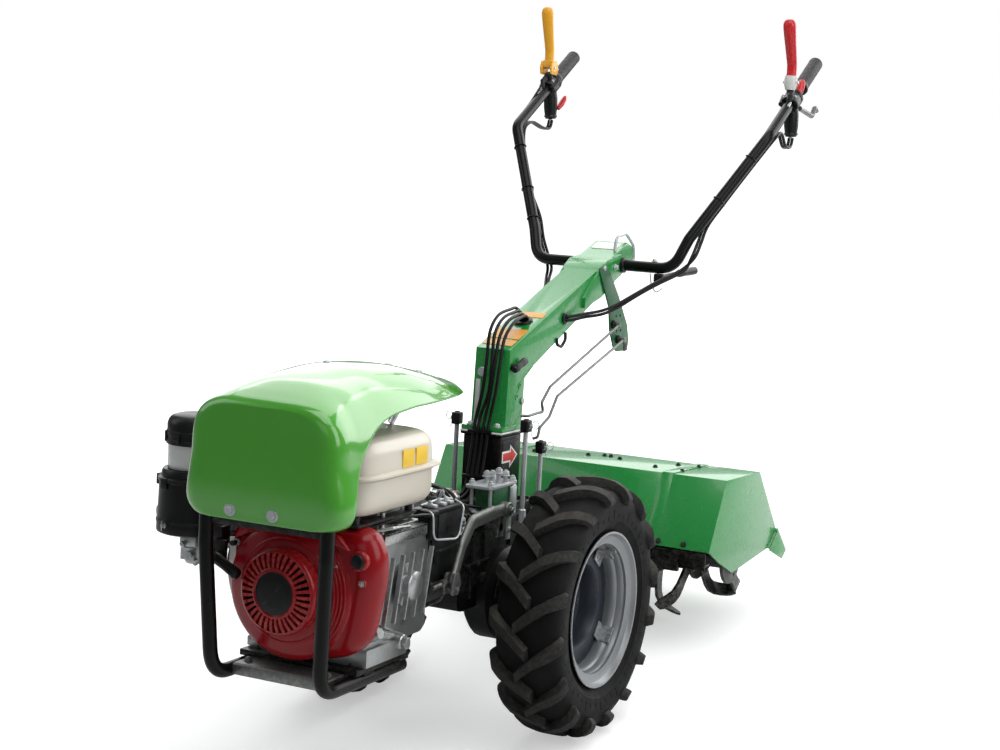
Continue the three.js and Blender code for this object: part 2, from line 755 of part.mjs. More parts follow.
// A flat control lever that stands on the perch and widens towards its rounded top.
function blade(s, d, lean, rise) {
  const [x, y, z] = alongGrip(s, d, PERCH_TOP + GAP);
  const outline = [
    [-8, 10], [14, 4], [13, 30], [10, 60], [14 + lean, rise - 34], [13 + lean, rise - 10],
    [6 + lean, rise - 2],
    [-4 + lean, rise], [-12 + lean, rise - 5], [-15 + lean, rise - 16], [-13 + lean, rise - 36], [-8, 60],
  ].map(([dy, dz]) => [y + dy, z + dz]);
  return join(prism(outline, "x", x - 8, x + 8), rod([x, y, z], alongGrip(s, d, PERCH_TOP + 18), 9, 12));
}
const PERCH_LEFT = -176; // perch's place along the grip tube, from its end
const PERCH_RIGHT = -142;
add("control_clamp_left", perch(1, PERCH_LEFT), PLASTIC);
add("control_clamp_right", perch(-1, PERCH_RIGHT), PLASTIC);
add("engine_stop_lever", blade(1, PERCH_LEFT, -32, 153), LEVER_RED);
add("throttle_lever", blade(-1, PERCH_RIGHT, -20, 158), YELLOW);
add(
  "handlebar_lock_lever",
  join(
    box(126, 148, BAR_Y - 10, BAR_Y + 10, BAR_Z - 32, BAR_Z - BAR_R - GAP),
    rod([137, BAR_Y, BAR_Z - 22], [152, 680, BAR_Z - 14], 7, 12),
    rod([151, 676, BAR_Z - 14], [164, 748, BAR_Z - 8], 9, 12),
  ),
  PLASTIC,
);

// ---------- control cables ----------
const LANES = [-24, -9, 9, 24]; // side positions of the four cables down the column
const CABLE_FRONT_Y = COLUMN_Y - 66.5;
// On the left the pair crosses the tilt axis outside the handlebar's bend, on the right under the cross tube.
const leftLoop = (k) => [
  [101, 452, 801 + k * 8], [131, 512, 833 + k * 6], [156, 556, 856 + k * 6], [177, 588, 872 + k * 5],
  [192 - k * 6, 606, 885 + k * 5],
];
const rightLoop = (k) => [
  [-92, 470, 802 + k * 8], [-104 - k * 4, 530, 824 + k * 4], [-118 - k * 8, 572, 848],
  [-128 - k * 10, 594, 867],
];
const leftLead = (k) => [
  [200 + k * 3, 606, 889 + k * 5], [205 + k * 7, 618, 914], [209 + k * 8, 642, 950], [211 + k * 8, 668, 984],
];
const rightLead = (k) => [
  [-131 - k * 10, 622, 872], [-152 - k * 9, 634, 892], [-176 - k * 8, 650, 934], [-192 - k * 8, 662, 978],
];
add(
  "arm_cables",
  join(
    rod([0, 231, 745], [0, 215.5, 787], 14.6, 14),
    rod([-38, 330, 782], [38, 330, 782], 9.6, 14),
    box(-9, 9, 222, 330, 762, 770),
    box(-9, 9, 318, 338, 764, 786),
    LANES.map((x) =>
      strand(
        [
          [x * 0.4, 222, 770], [x * 0.4, 214, 791], [x * 0.9, 174, 799], [x, 112, 791], [x, 77, 758],
          [x, 64, 705], [x, 63, 640], [x * 0.9, 52, 596], [x * 0.85, CABLE_FRONT_Y, 569],
        ],
        12,
      ),
    ),
    box(-28, 28, CABLE_FRONT_Y - 4, COLUMN_Y - 60 - GAP, 569, 575),
    [1, -1].map((s) =>
      [0, 1].map((k) =>
        strand(
          [
            [s * 38, 330, 779 + k * 6], [s * 50, 342, 779 + k * 8], [s * (62 + k * 4), 380, 784 + k * 8],
            [s * 84, 424, 790 + k * 8], ...(s > 0 ? leftLoop(k) : rightLoop(k)),
          ],
          12,
        ),
      ),
    ),
  ),
  PLASTIC,
);
add(
  "column_cables",
  join(
    box(-28, 28, CABLE_FRONT_Y - 4, COLUMN_Y - 62 - GAP, 556, 562),
    [
      [[-20, -7, 436], [-30, -120, 452], [-34, -200, 492], [-36, -320, 494], [-66, -380, 482],
      [-68, -460, 480],
        [-76, -515, 474], [-118, -544, 458], [-160, -546, 428], [-180, -553, 410], [-195, -556, 404]],
      [[-8, -9, 434], [-12, -110, 447], [-10, -200, 489], [4, -330, 494], [24, -395, 488], [24, -417, 478]],
      [[8, -9, 434], [0, -110, 450], [6, -200, 490], [66, -222, 490], [98, -246, 474], [102, -261, 463]],
      [[20, -7, 436], [-2, -100, 439], [-4, -160, 478], [26, -204, 494], [88, -226, 486],
      [112, -250, 474], [116, -261, 467]],
    ].map((route, i) => {
      const x = LANES[i] * 0.85;
      return strand([[x, CABLE_FRONT_Y, 562], [x, CABLE_FRONT_Y - 2, 540], [x, 30, 492],
        [x, 16, 450], ...route], route.length + 9);
    }),
  ),
  PLASTIC,
);
for (const [side, s, perchAt] of [["left", 1, PERCH_LEFT], ["right", -1, PERCH_RIGHT]]) {
  const [, entryY, entryZ] = alongGrip(s, perchAt - 35.5, -78);
  add(
    `bar_cables_${side}`,
    join(
      [0, 1].map((k) =>
        strand(
          [
            ...(s > 0 ? leftLead(k) : rightLead(k)), [s * (238 + k * 8), 698, 1040],
              [s * (289 + k * 8), 752, 1138],
            [s * (310 + k * 8), 794, 1186], [s * (311 + k * 8), 830, 1200],
            [s * (311 + k * 8), entryY - 42, entryZ - 20],
            [s * (311 + k * 8), entryY - 9, entryZ - 18], [s * (311 + k * 8), entryY, entryZ],
          ],
          18,
        ),
      ),
      rod([s * 236, 700.1, 1044], [s * 250, 700.1, 1044], 5, 8),
    ),
    PLASTIC,
  );
}

// ---------- tiller ----------
add(
  "tiller_gearcase",
  join(
    rod([0, PTO_FACE + GAP, PTO_Z], [0, PTO_FACE + 18, PTO_Z], 62, FACETS),
    rod([0, PTO_FACE + 10, PTO_Z], [0, 480, PTO_Z + 6], 42, FACETS),
    prism(
      [[430, 303], [470, 375], [560, 392], [700, 392], [735, 300], [728, 225], [700, 188], [660, 176],
      [620, 188], [590, 225], [560, 292], [505, 301]],
      "x", -28, 28,
    ),
    prism([[590, 391], [690, 391], [690, 433.8], [590, 437.2]], "x", -28, 28),
  ),
  CAST,
);

const hoodOuter = [[463, 297], [544, 443], [756, 432 + 4], [893, 284]];
function hoodProfile() {
  const inner = [[893 - 5, 281], [754, 432 + 4 - SHELL], [546.5, 443 - SHELL], [463 + 4, 294.5]];
  return [...hoodOuter, ...inner];
}
add(
  "tiller_hood",
  cut(
    prism(hoodProfile(), "x", -CORE_HALF, CORE_HALF),
    box(-48, 48, 380, 548, 240, 399),
  ),
  DARK_GREEN,
);
const endPlate = [[463, 297], [528, 264], [614, 227], [845, 247], [893, 284], [756, 436], [544, 443]];
for (const [side, flip] of [["left", (b) => b], ["right", mirrored]]) {
  add(
    `hood_extension_${side}`,
    flip(
      join(
        prism(hoodProfile(), "x", CORE_HALF + GAP, HOOD_HALF - 2),
        prism(endPlate, "x", HOOD_HALF - SHELL, HOOD_HALF),
      ),
    ),
    DARK_GREEN,
  );
}

// A hooked tine in the y-z plane about the shaft: a shank that sweeps back to its tip, with a sideways foot.
const tineOuter = [[13, 30], [17, 66], [13, 98], [0, 122], [-18, 138], [-44, 147]];
const tineInner = [[-46, 138], [-22, 129], [-12, 111], [-9, 92], [-8, 68], [-13, 30]];
const TINE_T = 7;
const FOOT_W = 44;
const FOOT_DROP = 17; // how far the foot's free end lies outside its root
function slantedFoot(out) {
  const a = Math.min(0, out * FOOT_W);
  const b = Math.max(TINE_T, out * FOOT_W);
  const flat = prism([[0, 122], [-18, 138], [-44, 147], [-46, 138], [-22, 129], [-10, 113]], "x", a, b);
  const k = (out * FOOT_DROP) / FOOT_W;
  return flat.transform([1, 0, k, 0, 0, 1, 0, 0, 0, 0, 1, 0, 0, 0, 0, 1]);
}
// Flanges along the shaft: place, angle of the first tine, and which way each tine's foot points.
const TINE_FLANGES = [
  [62, 30, [1, 1]],
  [156, 172, [1, -1, 1, -1]],
  [250, 215, [1, -1, 1, -1]],
  [326, 222, [-1, -1]],
];
function rotorHalf() {
  const parts = [rod([28 + GAP, ROTOR_Y, ROTOR_Z], [338, ROTOR_Y, ROTOR_Z], 28, 16)];
  for (const [x, turn, feet] of TINE_FLANGES) {
    parts.push(rod([x - 4, ROTOR_Y, ROTOR_Z], [x + 4, ROTOR_Y, ROTOR_Z], 58, 20));
    feet.forEach((out, k) => {
      const shank = prism([...tineOuter, ...tineInner], "x", 0, TINE_T);
      const seat = out > 0 ? 3 : -3 - TINE_T;
      const angle = turn + (k * 360) / feet.length;
      parts.push(join(shank, slantedFoot(out)).rotate([angle, 0, 0]).translate([x + seat, ROTOR_Y, ROTOR_Z]));
    });
  }
  return join(parts);
}
add("tiller_rotor_left", rotorHalf(), STEEL);
add("tiller_rotor_right", mirrored(rotorHalf()), STEEL);

// The rear flap hangs from the hood's rear edge at its stop.
const FLAP_HINGE = [896.9, 280.2];
const FLAP_BARREL_R = 5;
const flapCheek = prism([[900, 280], [966, 224], [940, 206], [872, 232],
  [884, 262]], "x", HOOD_HALF + GAP, HOOD_HALF + 4);
add(
  "rear_flap",
  join(
    rod([-HOOD_HALF - 4, ...FLAP_HINGE], [HOOD_HALF + 4, ...FLAP_HINGE], FLAP_BARREL_R, 12),
    prism([[901, 281], [966, 224], [963, 220], [898, 277]], "x", -HOOD_HALF - 4, HOOD_HALF + 4),
    flapCheek,
    mirrored(flapCheek),
  ),
  DARK_GREEN,
);

// The skid stands on the floor line, which the pitch sets.
const floorAt = (y) => y * Math.tan(PARK_PITCH) + (TYRE_R * (Math.cos(PARK_PITCH) - 1)) / Math.cos(PARK_PITCH);
add(
  "depth_skid",
  join(
    box(-13, 13, SKID_Y - 5, SKID_Y + 5, floorAt(SKID_Y) + 4, 293.7),
    prism(
      [
        [420, floorAt(420) + 20], [446, floorAt(446)], [508, floorAt(508)], [520, floorAt(520) + 8],
        [508, floorAt(508) + 9], [448, floorAt(448) + 9], [426, floorAt(426) + 26],
      ],
      "x", -26, 26,
    ),
  ),
  STEEL,
);
add(
  "hood_front_bar",
  join(
    box(-HOOD_HALF + 8, HOOD_HALF - 8, 463.5, 467.5, 254, 292),
    box(-26, 26, 455, 463.6, 262, 290),
  ),
  BLACK,
);

vehicle.rotation.x = -PARK_PITCH;
machine.updateMatrixWorld(true);
const bounds = new THREE.Box3().setFromObject(machine, true);
vehicle.position.set(
  -(bounds.min.x + bounds.max.x) / 2,
  -(bounds.min.y + bounds.max.y) / 2,
  -bounds.min.z,
);

export default machine;
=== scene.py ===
"""Two-wheel walking tractor with a rear tiller: visible surfaces, camera and light around the frame."""
import math

import bmesh
import bpy
import numpy as np
from mathutils import Matrix, Vector


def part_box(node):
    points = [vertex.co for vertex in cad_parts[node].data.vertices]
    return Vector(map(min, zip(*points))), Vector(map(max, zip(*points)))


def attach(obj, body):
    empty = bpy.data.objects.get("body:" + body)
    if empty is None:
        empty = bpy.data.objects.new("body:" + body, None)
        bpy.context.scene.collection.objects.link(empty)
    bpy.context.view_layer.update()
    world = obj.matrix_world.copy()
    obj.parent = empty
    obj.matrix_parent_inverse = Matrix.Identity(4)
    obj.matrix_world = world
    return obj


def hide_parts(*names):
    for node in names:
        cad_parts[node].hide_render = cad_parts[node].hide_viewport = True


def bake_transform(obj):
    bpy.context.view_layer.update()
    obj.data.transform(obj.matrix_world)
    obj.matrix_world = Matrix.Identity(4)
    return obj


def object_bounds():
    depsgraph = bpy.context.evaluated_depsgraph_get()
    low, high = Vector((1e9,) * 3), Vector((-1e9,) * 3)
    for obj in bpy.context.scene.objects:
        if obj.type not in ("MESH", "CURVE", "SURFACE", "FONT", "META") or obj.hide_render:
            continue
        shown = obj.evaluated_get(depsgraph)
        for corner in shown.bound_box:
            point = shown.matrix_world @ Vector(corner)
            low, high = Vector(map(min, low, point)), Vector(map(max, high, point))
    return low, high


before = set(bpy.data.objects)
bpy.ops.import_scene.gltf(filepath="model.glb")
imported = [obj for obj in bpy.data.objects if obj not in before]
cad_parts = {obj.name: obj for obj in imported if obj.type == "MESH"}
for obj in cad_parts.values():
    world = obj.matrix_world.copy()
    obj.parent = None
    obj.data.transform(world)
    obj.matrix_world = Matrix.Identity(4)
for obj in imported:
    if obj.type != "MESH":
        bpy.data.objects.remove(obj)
cad_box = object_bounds()

# ---------- driving dimensions, in millimetres with the machine level ----------
PARK_PITCH = math.radians(6.4)  # tail-down lean as it stands
TYRE_R = 255
WHEEL_X = 256
LUGS = 16  # on each side of a tread
LUG_H = 18
CRANK_Z = 363
HOOP_R = 13
COLUMN_Y = 110
BAR_R = 12.5
BAR_Y = 606
BAR_Z = 888
GRIP_X = 315
GRIP_END = (1050, 1367)
GRIP_BEND = (757, 1188)
CABLE_R = 3.5
WELD = 0.02  # CAD corners closer than this are one
FLAT_ANGLE = 0.6  # degrees, below which CAD faces are one plane
ROTOR_Y = 660
ROTOR_Z = 250


def middle(node):
    low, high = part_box(node)
    return (low + high) / 2


# Pieces are drawn level, x to the machine's left and y to its rear, with the axle over the origin.
AXLE = (middle("tyre_left") + middle("tyre_right")) / 2
LEVEL = (
    Matrix.Translation(AXLE)
    @ Matrix.Rotation(-PARK_PITCH, 4, "X")
    @ Matrix.Scale(0.001, 4)
    @ Matrix.Translation((0, 0, -TYRE_R))
)


def at(x, y, z):
    return LEVEL @ Vector((x, y, z))


# ---------- materials ----------
def linear(code):
    values = [int(code[i : i + 2], 16) / 255 for i in (1, 3, 5)]
    return [v / 12.92 if v <= 0.04045 else ((v + 0.055) / 1.055) ** 2.4 for v in values]


def shade(color, k):
    return (*[min(1.0, v * k) for v in color], 1.0)


class Nodes:
    """A material's node tree, with short calls to add and link nodes."""

    def __init__(self, name):
        self.material = bpy.data.materials.new(name)
        self.material.use_nodes = True
        self.tree = self.material.node_tree
        self.tree.nodes.clear()
        self.coords = self.add("ShaderNodeTexCoord").outputs["Object"]

    def add(self, kind, **settings):
        node = self.tree.nodes.new(kind)
        for key, value in settings.items():
            setattr(node, key, value)
        return node

    def link(self, a, b):
        self.tree.links.new(a, b)

    def noise(self, scale, detail=3.0, rough=0.55, stretch=None):
        node = self.add("ShaderNodeTexNoise")
        node.inputs["Scale"].default_value = scale
        node.inputs["Detail"].default_value = detail
        node.inputs["Roughness"].default_value = rough
        source = self.coords
        if stretch:
            mapping = self.add("ShaderNodeMapping")
            mapping.inputs["Scale"].default_value = stretch
            self.link(self.coords, mapping.inputs["Vector"])
            source = mapping.outputs["Vector"]
        self.link(source, node.inputs["Vector"])
        return node.outputs["Fac"]

    def span(self, value, low, high, to_low=0.0, to_high=1.0):
        node = self.add("ShaderNodeMapRange", clamp=True)
        for key, v in zip(("From Min", "From Max", "To Min", "To Max"), (low, high, to_low, to_high)):
            node.inputs[key].default_value = v
        self.link(value, node.inputs["Value"])
        return node.outputs["Result"]

    def times(self, a, b):
        node = self.add("ShaderNodeMath", operation="MULTIPLY")
        self.link(a, node.inputs[0])
        self.link(b, node.inputs[1])
        return node.outputs["Value"]

    def mix(self, factor, a, b):
        """Colour a where the factor is 0, b where it is 1; each is a colour or a node's output."""
        node = self.add("ShaderNodeMix", data_type="RGBA")
        self.link(factor, node.inputs["Factor"])
        for socket, value in ((node.inputs[6], a), (node.inputs[7], b)):
            if isinstance(value, (tuple, list)):
                socket.default_value = value
            else:
                self.link(value, socket)
        return node.outputs[2]

    def close(self, shader):
        out = self.add("ShaderNodeOutputMaterial")
        self.link(shader, out.inputs["Surface"])
        return self.material


DUST_CODE = "#8f8778"
COAT_ROUGH = 0.06


def finish(name, code, rough, metal=0.0, coat=0.0, vary=0.1, grain=420, bump=0.15, depth=0.0004,
           worn_and_highlight=None, wear_and_highlight=0.5, dust=0.0, streak=None, glow=0.5, patch=0.08):
    """Colour that drifts softly, patchy gloss, a fine grain, convex edges lightened by scuffed paint
    together with a painted edge highlight, and dust.
    """
    n = Nodes(name)
    base = linear(code)
    color = n.mix(n.span(n.noise(7, 4), 0.3, 0.7), shade(base, 1 - vary), shade(base, 1 + vary))
    color = n.mix(n.span(n.noise(90, 3), 0.55, 0.8, 0, 0.35), color, shade(base, 1 - 2.2 * vary))
    geometry = n.add("ShaderNodeNewGeometry")
    # Convex edges (high pointiness) take a lighter colour: partly scuffed paint, partly a painted edge
    # highlight standing in for light on the bevels.
    if worn_and_highlight:
        edge = n.span(geometry.outputs["Pointiness"], 0.53, 0.6)
        rubbed_and_highlit = n.times(edge, n.span(n.noise(120, 5, 0.7), 0.42, 0.6, 0, wear_and_highlight))
        color = n.mix(rubbed_and_highlit, color, shade(linear(worn_and_highlight), 1))
    if dust:
        axes = n.add("ShaderNodeSeparateXYZ")
        n.link(geometry.outputs["Normal"], axes.inputs["Vector"])
        settled = n.times(n.span(axes.outputs["Z"], 0.2, 1.0),
                          n.span(n.noise(24, 6, 0.65), 0.4, 0.75, 0, dust))
        color = n.mix(settled, color, shade(linear(DUST_CODE), 1))
    principled = n.add("ShaderNodeBsdfPrincipled")
    n.link(color, principled.inputs["Base Color"])
    spread = n.span(n.noise(35, 4, 0.6), 0.3, 0.75, max(0.04, rough - patch), min(1.0, rough + patch))
    n.link(spread, principled.inputs["Roughness"])
    principled.inputs["Metallic"].default_value = metal
    principled.inputs["Coat Weight"].default_value = coat
    principled.inputs["Coat Roughness"].default_value = COAT_ROUGH
    principled.inputs["Specular IOR Level"].default_value = glow
    bumped = n.add("ShaderNodeBump")
    bumped.inputs["Strength"].default_value = bump
    bumped.inputs["Distance"].default_value = depth
    n.link(n.noise(grain, 3, 0.6, streak), bumped.inputs["Height"])
    n.link(bumped.outputs["Normal"], principled.inputs["Normal"])
    return n.close(principled.outputs["BSDF"])


# name: (slot of the record, how it is finished)
FINISHES = {
    "bonnet": ("bonnet_green", dict(code="#479f28", rough=0.2, coat=0.8, vary=0.015, patch=0.02,
                                    grain=260, bump=0.05, worn_and_highlight="#7fc25f", wear_and_highlight=0.3)),
    "green": ("frame_green", dict(code="#1e8a3c", rough=0.27, coat=0.4, vary=0.015, patch=0.02, grain=240,
                                  bump=0.04, worn_and_highlight="#4fa468", wear_and_highlight=0.2)),
    "deep_green": ("frame_green", dict(code="#15572f", rough=0.4, vary=0.1, grain=300, bump=0.2,
                                       worn_and_highlight="#6f9c7b", wear_and_highlight=0.5)),
    "black": ("frame_black", dict(code="#040504", rough=0.3, glow=0.22, patch=0.03, vary=0.15, grain=240,
                                  bump=0.12, worn_and_highlight="#55524d", wear_and_highlight=0.5)),
    "casting": ("black_casting", dict(code="#070808", rough=0.5, metal=0.1, glow=0.3, vary=0.25,
                                      grain=330, bump=0.6, depth=0.0008, worn_and_highlight="#4a4a49", wear_and_highlight=0.6,
                                      dust=0.12)),
    "bell": ("bell_black", dict(code="#070808", rough=0.45, metal=0.1, glow=0.3, vary=0.2, grain=330,
                                bump=0.5, depth=0.0007, worn_and_highlight="#454544", wear_and_highlight=0.5, dust=0.1)),
    "alloy": ("engine_alloy", dict(code="#a4a7a6", rough=0.34, metal=0.85, vary=0.2, grain=380, bump=0.45,
                                   depth=0.0006, worn_and_highlight="#d0d2d0", wear_and_highlight=0.5)),
    "red": ("fan_red", dict(code="#8d0a13", rough=0.24, coat=0.15, glow=0.25, patch=0.03, vary=0.05,
                            grain=300, bump=0.1, worn_and_highlight="#d06058", wear_and_highlight=0.35)),
    "plastic": ("black_plastic", dict(code="#070808", rough=0.38, glow=0.3, vary=0.15, grain=700,
                                      bump=0.3, dust=0.08, worn_and_highlight="#3d3d3c", wear_and_highlight=0.5)),
    "cable": ("black_plastic", dict(code="#050606", rough=0.36, glow=0.25, vary=0.2, grain=900,
                                    bump=0.15)),
    "cream": ("tank_cream", dict(code="#cfc8b9", rough=0.32, coat=0.15, vary=0.02, patch=0.02, grain=350,
                                 bump=0.06, worn_and_highlight="#efeadf", wear_and_highlight=0.1)),
    "steel": ("steel", dict(code="#a2a4a2", rough=0.28, metal=0.95, vary=0.12, grain=160, bump=0.05,
                            patch=0.04, streak=(1, 1, 8), worn_and_highlight="#dedfdd", wear_and_highlight=0.5)),
    "zinc": ("steel", dict(code="#b4b8ba", rough=0.34, metal=0.4, vary=0.08, patch=0.04, grain=260,
                           bump=0.08, worn_and_highlight="#dedfdd", wear_and_highlight=0.4)),
    "forged": ("steel", dict(code="#6f716e", rough=0.42, metal=0.75, vary=0.2, grain=300, bump=0.5,
                             depth=0.0006, worn_and_highlight="#b5b6b3", wear_and_highlight=0.6)),
    "tine": ("steel", dict(code="#18181a", rough=0.36, metal=0.4, vary=0.3, grain=260, bump=0.4,
                           worn_and_highlight="#77736e", wear_and_highlight=0.8)),
    "rim": ("rim_silver", dict(code="#85888a", rough=0.34, patch=0.02, metal=0.35, vary=0.05, grain=420,
                               bump=0.12, worn_and_highlight="#e2e3e4", wear_and_highlight=0.4)),
    "disc": ("rim_silver", dict(code="#282d36", rough=0.4, patch=0.02, metal=0.3, vary=0.1, grain=420,
                                bump=0.15, worn_and_highlight="#6a707a", wear_and_highlight=0.4)),
    "tyre": ("tyre", dict(code="#050505", rough=0.66, vary=0.2, glow=0.18, grain=520, bump=0.4,
                          depth=0.0005, worn_and_highlight="#1c1b1a", wear_and_highlight=0.5)),
    "lug": ("tyre", dict(code="#191917", rough=0.7, vary=0.18, grain=420, bump=0.5, depth=0.0006,
                         glow=0.3, worn_and_highlight="#3a3936", wear_and_highlight=0.7, dust=0.15)),
    "grip": ("grip_rubber", dict(code="#2b2b2d", rough=0.5, vary=0.12, grain=600, bump=0.3,
                                 worn_and_highlight="#5c5b5d", wear_and_highlight=0.4)),
    "yellow": ("lever_yellow", dict(code="#e3a01f", rough=0.3, vary=0.05, grain=420, bump=0.12,
                                    worn_and_highlight="#f4cf7a", wear_and_highlight=0.4)),
    "lever_red": ("lever_red", dict(code="#c01c22", rough=0.3, vary=0.05, grain=420, bump=0.12,
                                    worn_and_highlight="#e2736f", wear_and_highlight=0.4)),
    "socket": ("black_plastic", dict(code="#c9cac6", rough=0.4, vary=0.06, grain=500, bump=0.2)),
    "label": ("black_plastic", dict(code="#e9e9e5", rough=0.45, vary=0.03, grain=500, bump=0.1)),
    "yellow_label": ("lever_yellow", dict(code="#ecc22a", rough=0.42, vary=0.05, grain=500, bump=0.1)),
    "orange_label": ("lever_yellow", dict(code="#e09a24", rough=0.4, vary=0.1, grain=500, bump=0.1)),
    "arrow": ("lever_red", dict(code="#d0342c", rough=0.45, vary=0.05, grain=500, bump=0.1)),
    "band": ("black_plastic", dict(code="#c8c9c6", rough=0.18, coat=0.5, vary=0.05, grain=200,
                                   bump=0.05)),
}
MATERIALS = {name: finish(name + "_finish", **looks) for name, (_, looks) in FINISHES.items()}


# ---------- drawing meshes ----------
def across(direction):
    """Two unit vectors square to a direction and to each other."""
    d = Vector(direction).normalized()
    helper = Vector((0, 0, 1)) if abs(d.z) < 0.9 else Vector((1, 0, 0))
    u = d.cross(helper).normalized()
    return u, d.cross(u)


def skin(bm, rings, wrap=False, caps=True):
    """Quads between rings of points; wrap joins the last ring to the first, caps close the two ends."""
    made = [[bm.verts.new(p) for p in ring] for ring in rings]
    following = made[1:] + made[:1] if wrap else made[1:]
    for a, b in zip(made, following):
        for i in range(len(a)):
            j = (i + 1) % len(a)
            bm.faces.new((a[i], a[j], b[j], b[i]))
    if caps and not wrap:
        bm.faces.new(made[0][::-1])
        bm.faces.new(made[-1])


def circle(centre, u, v, r, n):
    return [centre + u * (r * math.cos(2 * math.pi * i / n)) + v * (r * math.sin(2 * math.pi * i / n))
            for i in range(n)]


def lathe(bm, profile, origin, direction, n=72, wrap=True):
    """A profile of (radius, distance along the axis) pairs turned about an axis."""
    d = Vector(direction).normalized()
    u, v = across(d)
    rings = [circle(Vector(origin) + d * p, u, v, max(r, 0.05), n) for r, p in profile]
    skin(bm, rings, wrap=wrap)


def rod(bm, a, b, r, r2=None, n=24, chamfer=0.8):
    r2 = r if r2 is None else r2
    a, b = Vector(a), Vector(b)
    length = (b - a).length
    c = min(chamfer, r * 0.6, r2 * 0.6, length * 0.3)
    lathe(bm, [(r - c, 0), (r, c), (r2, length - c), (r2 - c, length)], a, b - a, n, wrap=False)


def sweep(bm, path, r, n=16, flat=1.0, side=None):
    """A round (or flattened) section carried along a path; r is one radius or one for each point."""
    pts = [Vector(p) for p in path]
    radii = r if isinstance(r, (list, tuple)) else [r] * len(pts)
    normal = Vector(side) if side else None
    rings = []
    for i, p in enumerate(pts):
        t = (pts[min(i + 1, len(pts) - 1)] - pts[max(i - 1, 0)]).normalized()
        if normal is None:
            normal = across(t)[0]
        normal = (normal - t * normal.dot(t)).normalized()
        other = t.cross(normal)
        rings.append([p + normal * (radii[i] * math.cos(2 * math.pi * k / n))
                      + other * (radii[i] * flat * math.sin(2 * math.pi * k / n)) for k in range(n)])
    skin(bm, rings)


def rounded_path(points, fillet, steps=10):
    v = [Vector(p) for p in points]
    out = [v[0]]
    for a, b, c in zip(v, v[1:], v[2:]):
        back, ahead = (a - b), (c - b)
        half = back.angle(ahead) / 2
        cut = min(fillet / math.tan(half), back.length * 0.48, ahead.length * 0.48)
        p, q = b + back.normalized() * cut, b + ahead.normalized() * cut
        for i in range(steps + 1):
            t = i / steps
            out.append(p * (1 - t) ** 2 + b * (2 * t * (1 - t)) + q * t * t)
    out.append(v[-1])
    return out


def tube(bm, points, r, fillet, n=20):
    sweep(bm, rounded_path(points, fillet), r, n)


def smooth_path(points, step=7.0):
    """A centripetal curve through the points, as evenly spaced points."""
    v = [Vector(p) for p in points]
    v = [v[0] * 2 - v[1]] + v + [v[-1] * 2 - v[-2]]
    dense = []
    for p0, p1, p2, p3 in zip(v, v[1:], v[2:], v[3:]):
        t1 = (p1 - p0).length ** 0.5
        t2 = t1 + (p2 - p1).length ** 0.5
        t3 = t2 + (p3 - p2).length ** 0.5
        for i in range(16):
            t = t1 + (t2 - t1) * i / 16
            a1 = p0 * ((t1 - t) / t1) + p1 * (t / t1)
            a2 = p1 * ((t2 - t) / (t2 - t1)) + p2 * ((t - t1) / (t2 - t1))
            a3 = p2 * ((t3 - t) / (t3 - t2)) + p3 * ((t - t2) / (t3 - t2))
            b1 = a1 * ((t2 - t) / t2) + a2 * (t / t2)
            b2 = a2 * ((t3 - t) / (t3 - t1)) + a3 * ((t - t1) / (t3 - t1))
            dense.append(b1 * ((t2 - t) / (t2 - t1)) + b2 * ((t - t1) / (t2 - t1)))
    dense.append(v[-2])
    co = np.array(dense)
    along = np.concatenate([[0], np.cumsum(np.linalg.norm(np.diff(co, axis=0), axis=1))])
    marks = np.linspace(0, along[-1], max(3, int(along[-1] / step)))
    return [Vector([np.interp(m, along, co[:, k]) for k in range(3)]) for m in marks]


def strand(bm, points, r=CABLE_R, n=12):
    sweep(bm, smooth_path(points), r, n)


def merged(bm, part):
    mesh = bpy.data.meshes.new("part")
    part.to_mesh(mesh)
    part.free()
    bm.from_mesh(mesh)
    bpy.data.meshes.remove(mesh)


def soften(part, width, segments=2, angle=28):
    """Rounds every edge of a mesh that turns more than the angle."""
    bmesh.ops.recalc_face_normals(part, faces=part.faces)
    edges = [e for e in part.edges if len(e.link_faces) == 2
             and e.calc_face_angle(0) > math.radians(angle)]
    bmesh.ops.bevel(part, geom=edges, offset=width, offset_type="OFFSET", segments=segments, profile=0.5,
                    affect="EDGES", clamp_overlap=True)


def box(bm, x0, x1, y0, y1, z0, z1, bevel=1.5, segments=2):
    part = bmesh.new()
    bmesh.ops.create_cube(part, size=1)
    size = Matrix.Diagonal((x1 - x0, y1 - y0, z1 - z0, 1))
    part.transform(Matrix.Translation(((x0 + x1) / 2, (y0 + y1) / 2, (z0 + z1) / 2)) @ size)
    if bevel:
        soften(part, bevel, segments)
    merged(bm, part)


AXES = {"x": lambda u, v, w: (w, u, v), "y": lambda u, v, w: (u, w, v), "z": lambda u, v, w: (u, v, w)}


def slab(bm, outline, axis, a, b, bevel=1.0, segments=2, angle=28):
    """An outline of (u, v) points given thickness from a to b along an axis."""
    part = bmesh.new()
    place = AXES[axis]
    skin(part, [[place(u, v, w) for u, v in outline] for w in (a, b)])
    if bevel:
        soften(part, bevel, segments, angle)
    merged(bm, part)


def arc(cu, cv, r, start, end, steps=10):
    angles = [math.radians(start + (end - start) * i / steps) for i in range(steps + 1)]
    return [(cu + r * math.cos(t), cv + r * math.sin(t)) for t in angles]


def rounded(u0, u1, v0, v1, r, steps=6):
    return (arc(u1 - r, v0 + r, r, -90, 0, steps) + arc(u1 - r, v1 - r, r, 0, 90, steps)
            + arc(u0 + r, v1 - r, r, 90, 180, steps) + arc(u0 + r, v0 + r, r, 180, 270, steps))


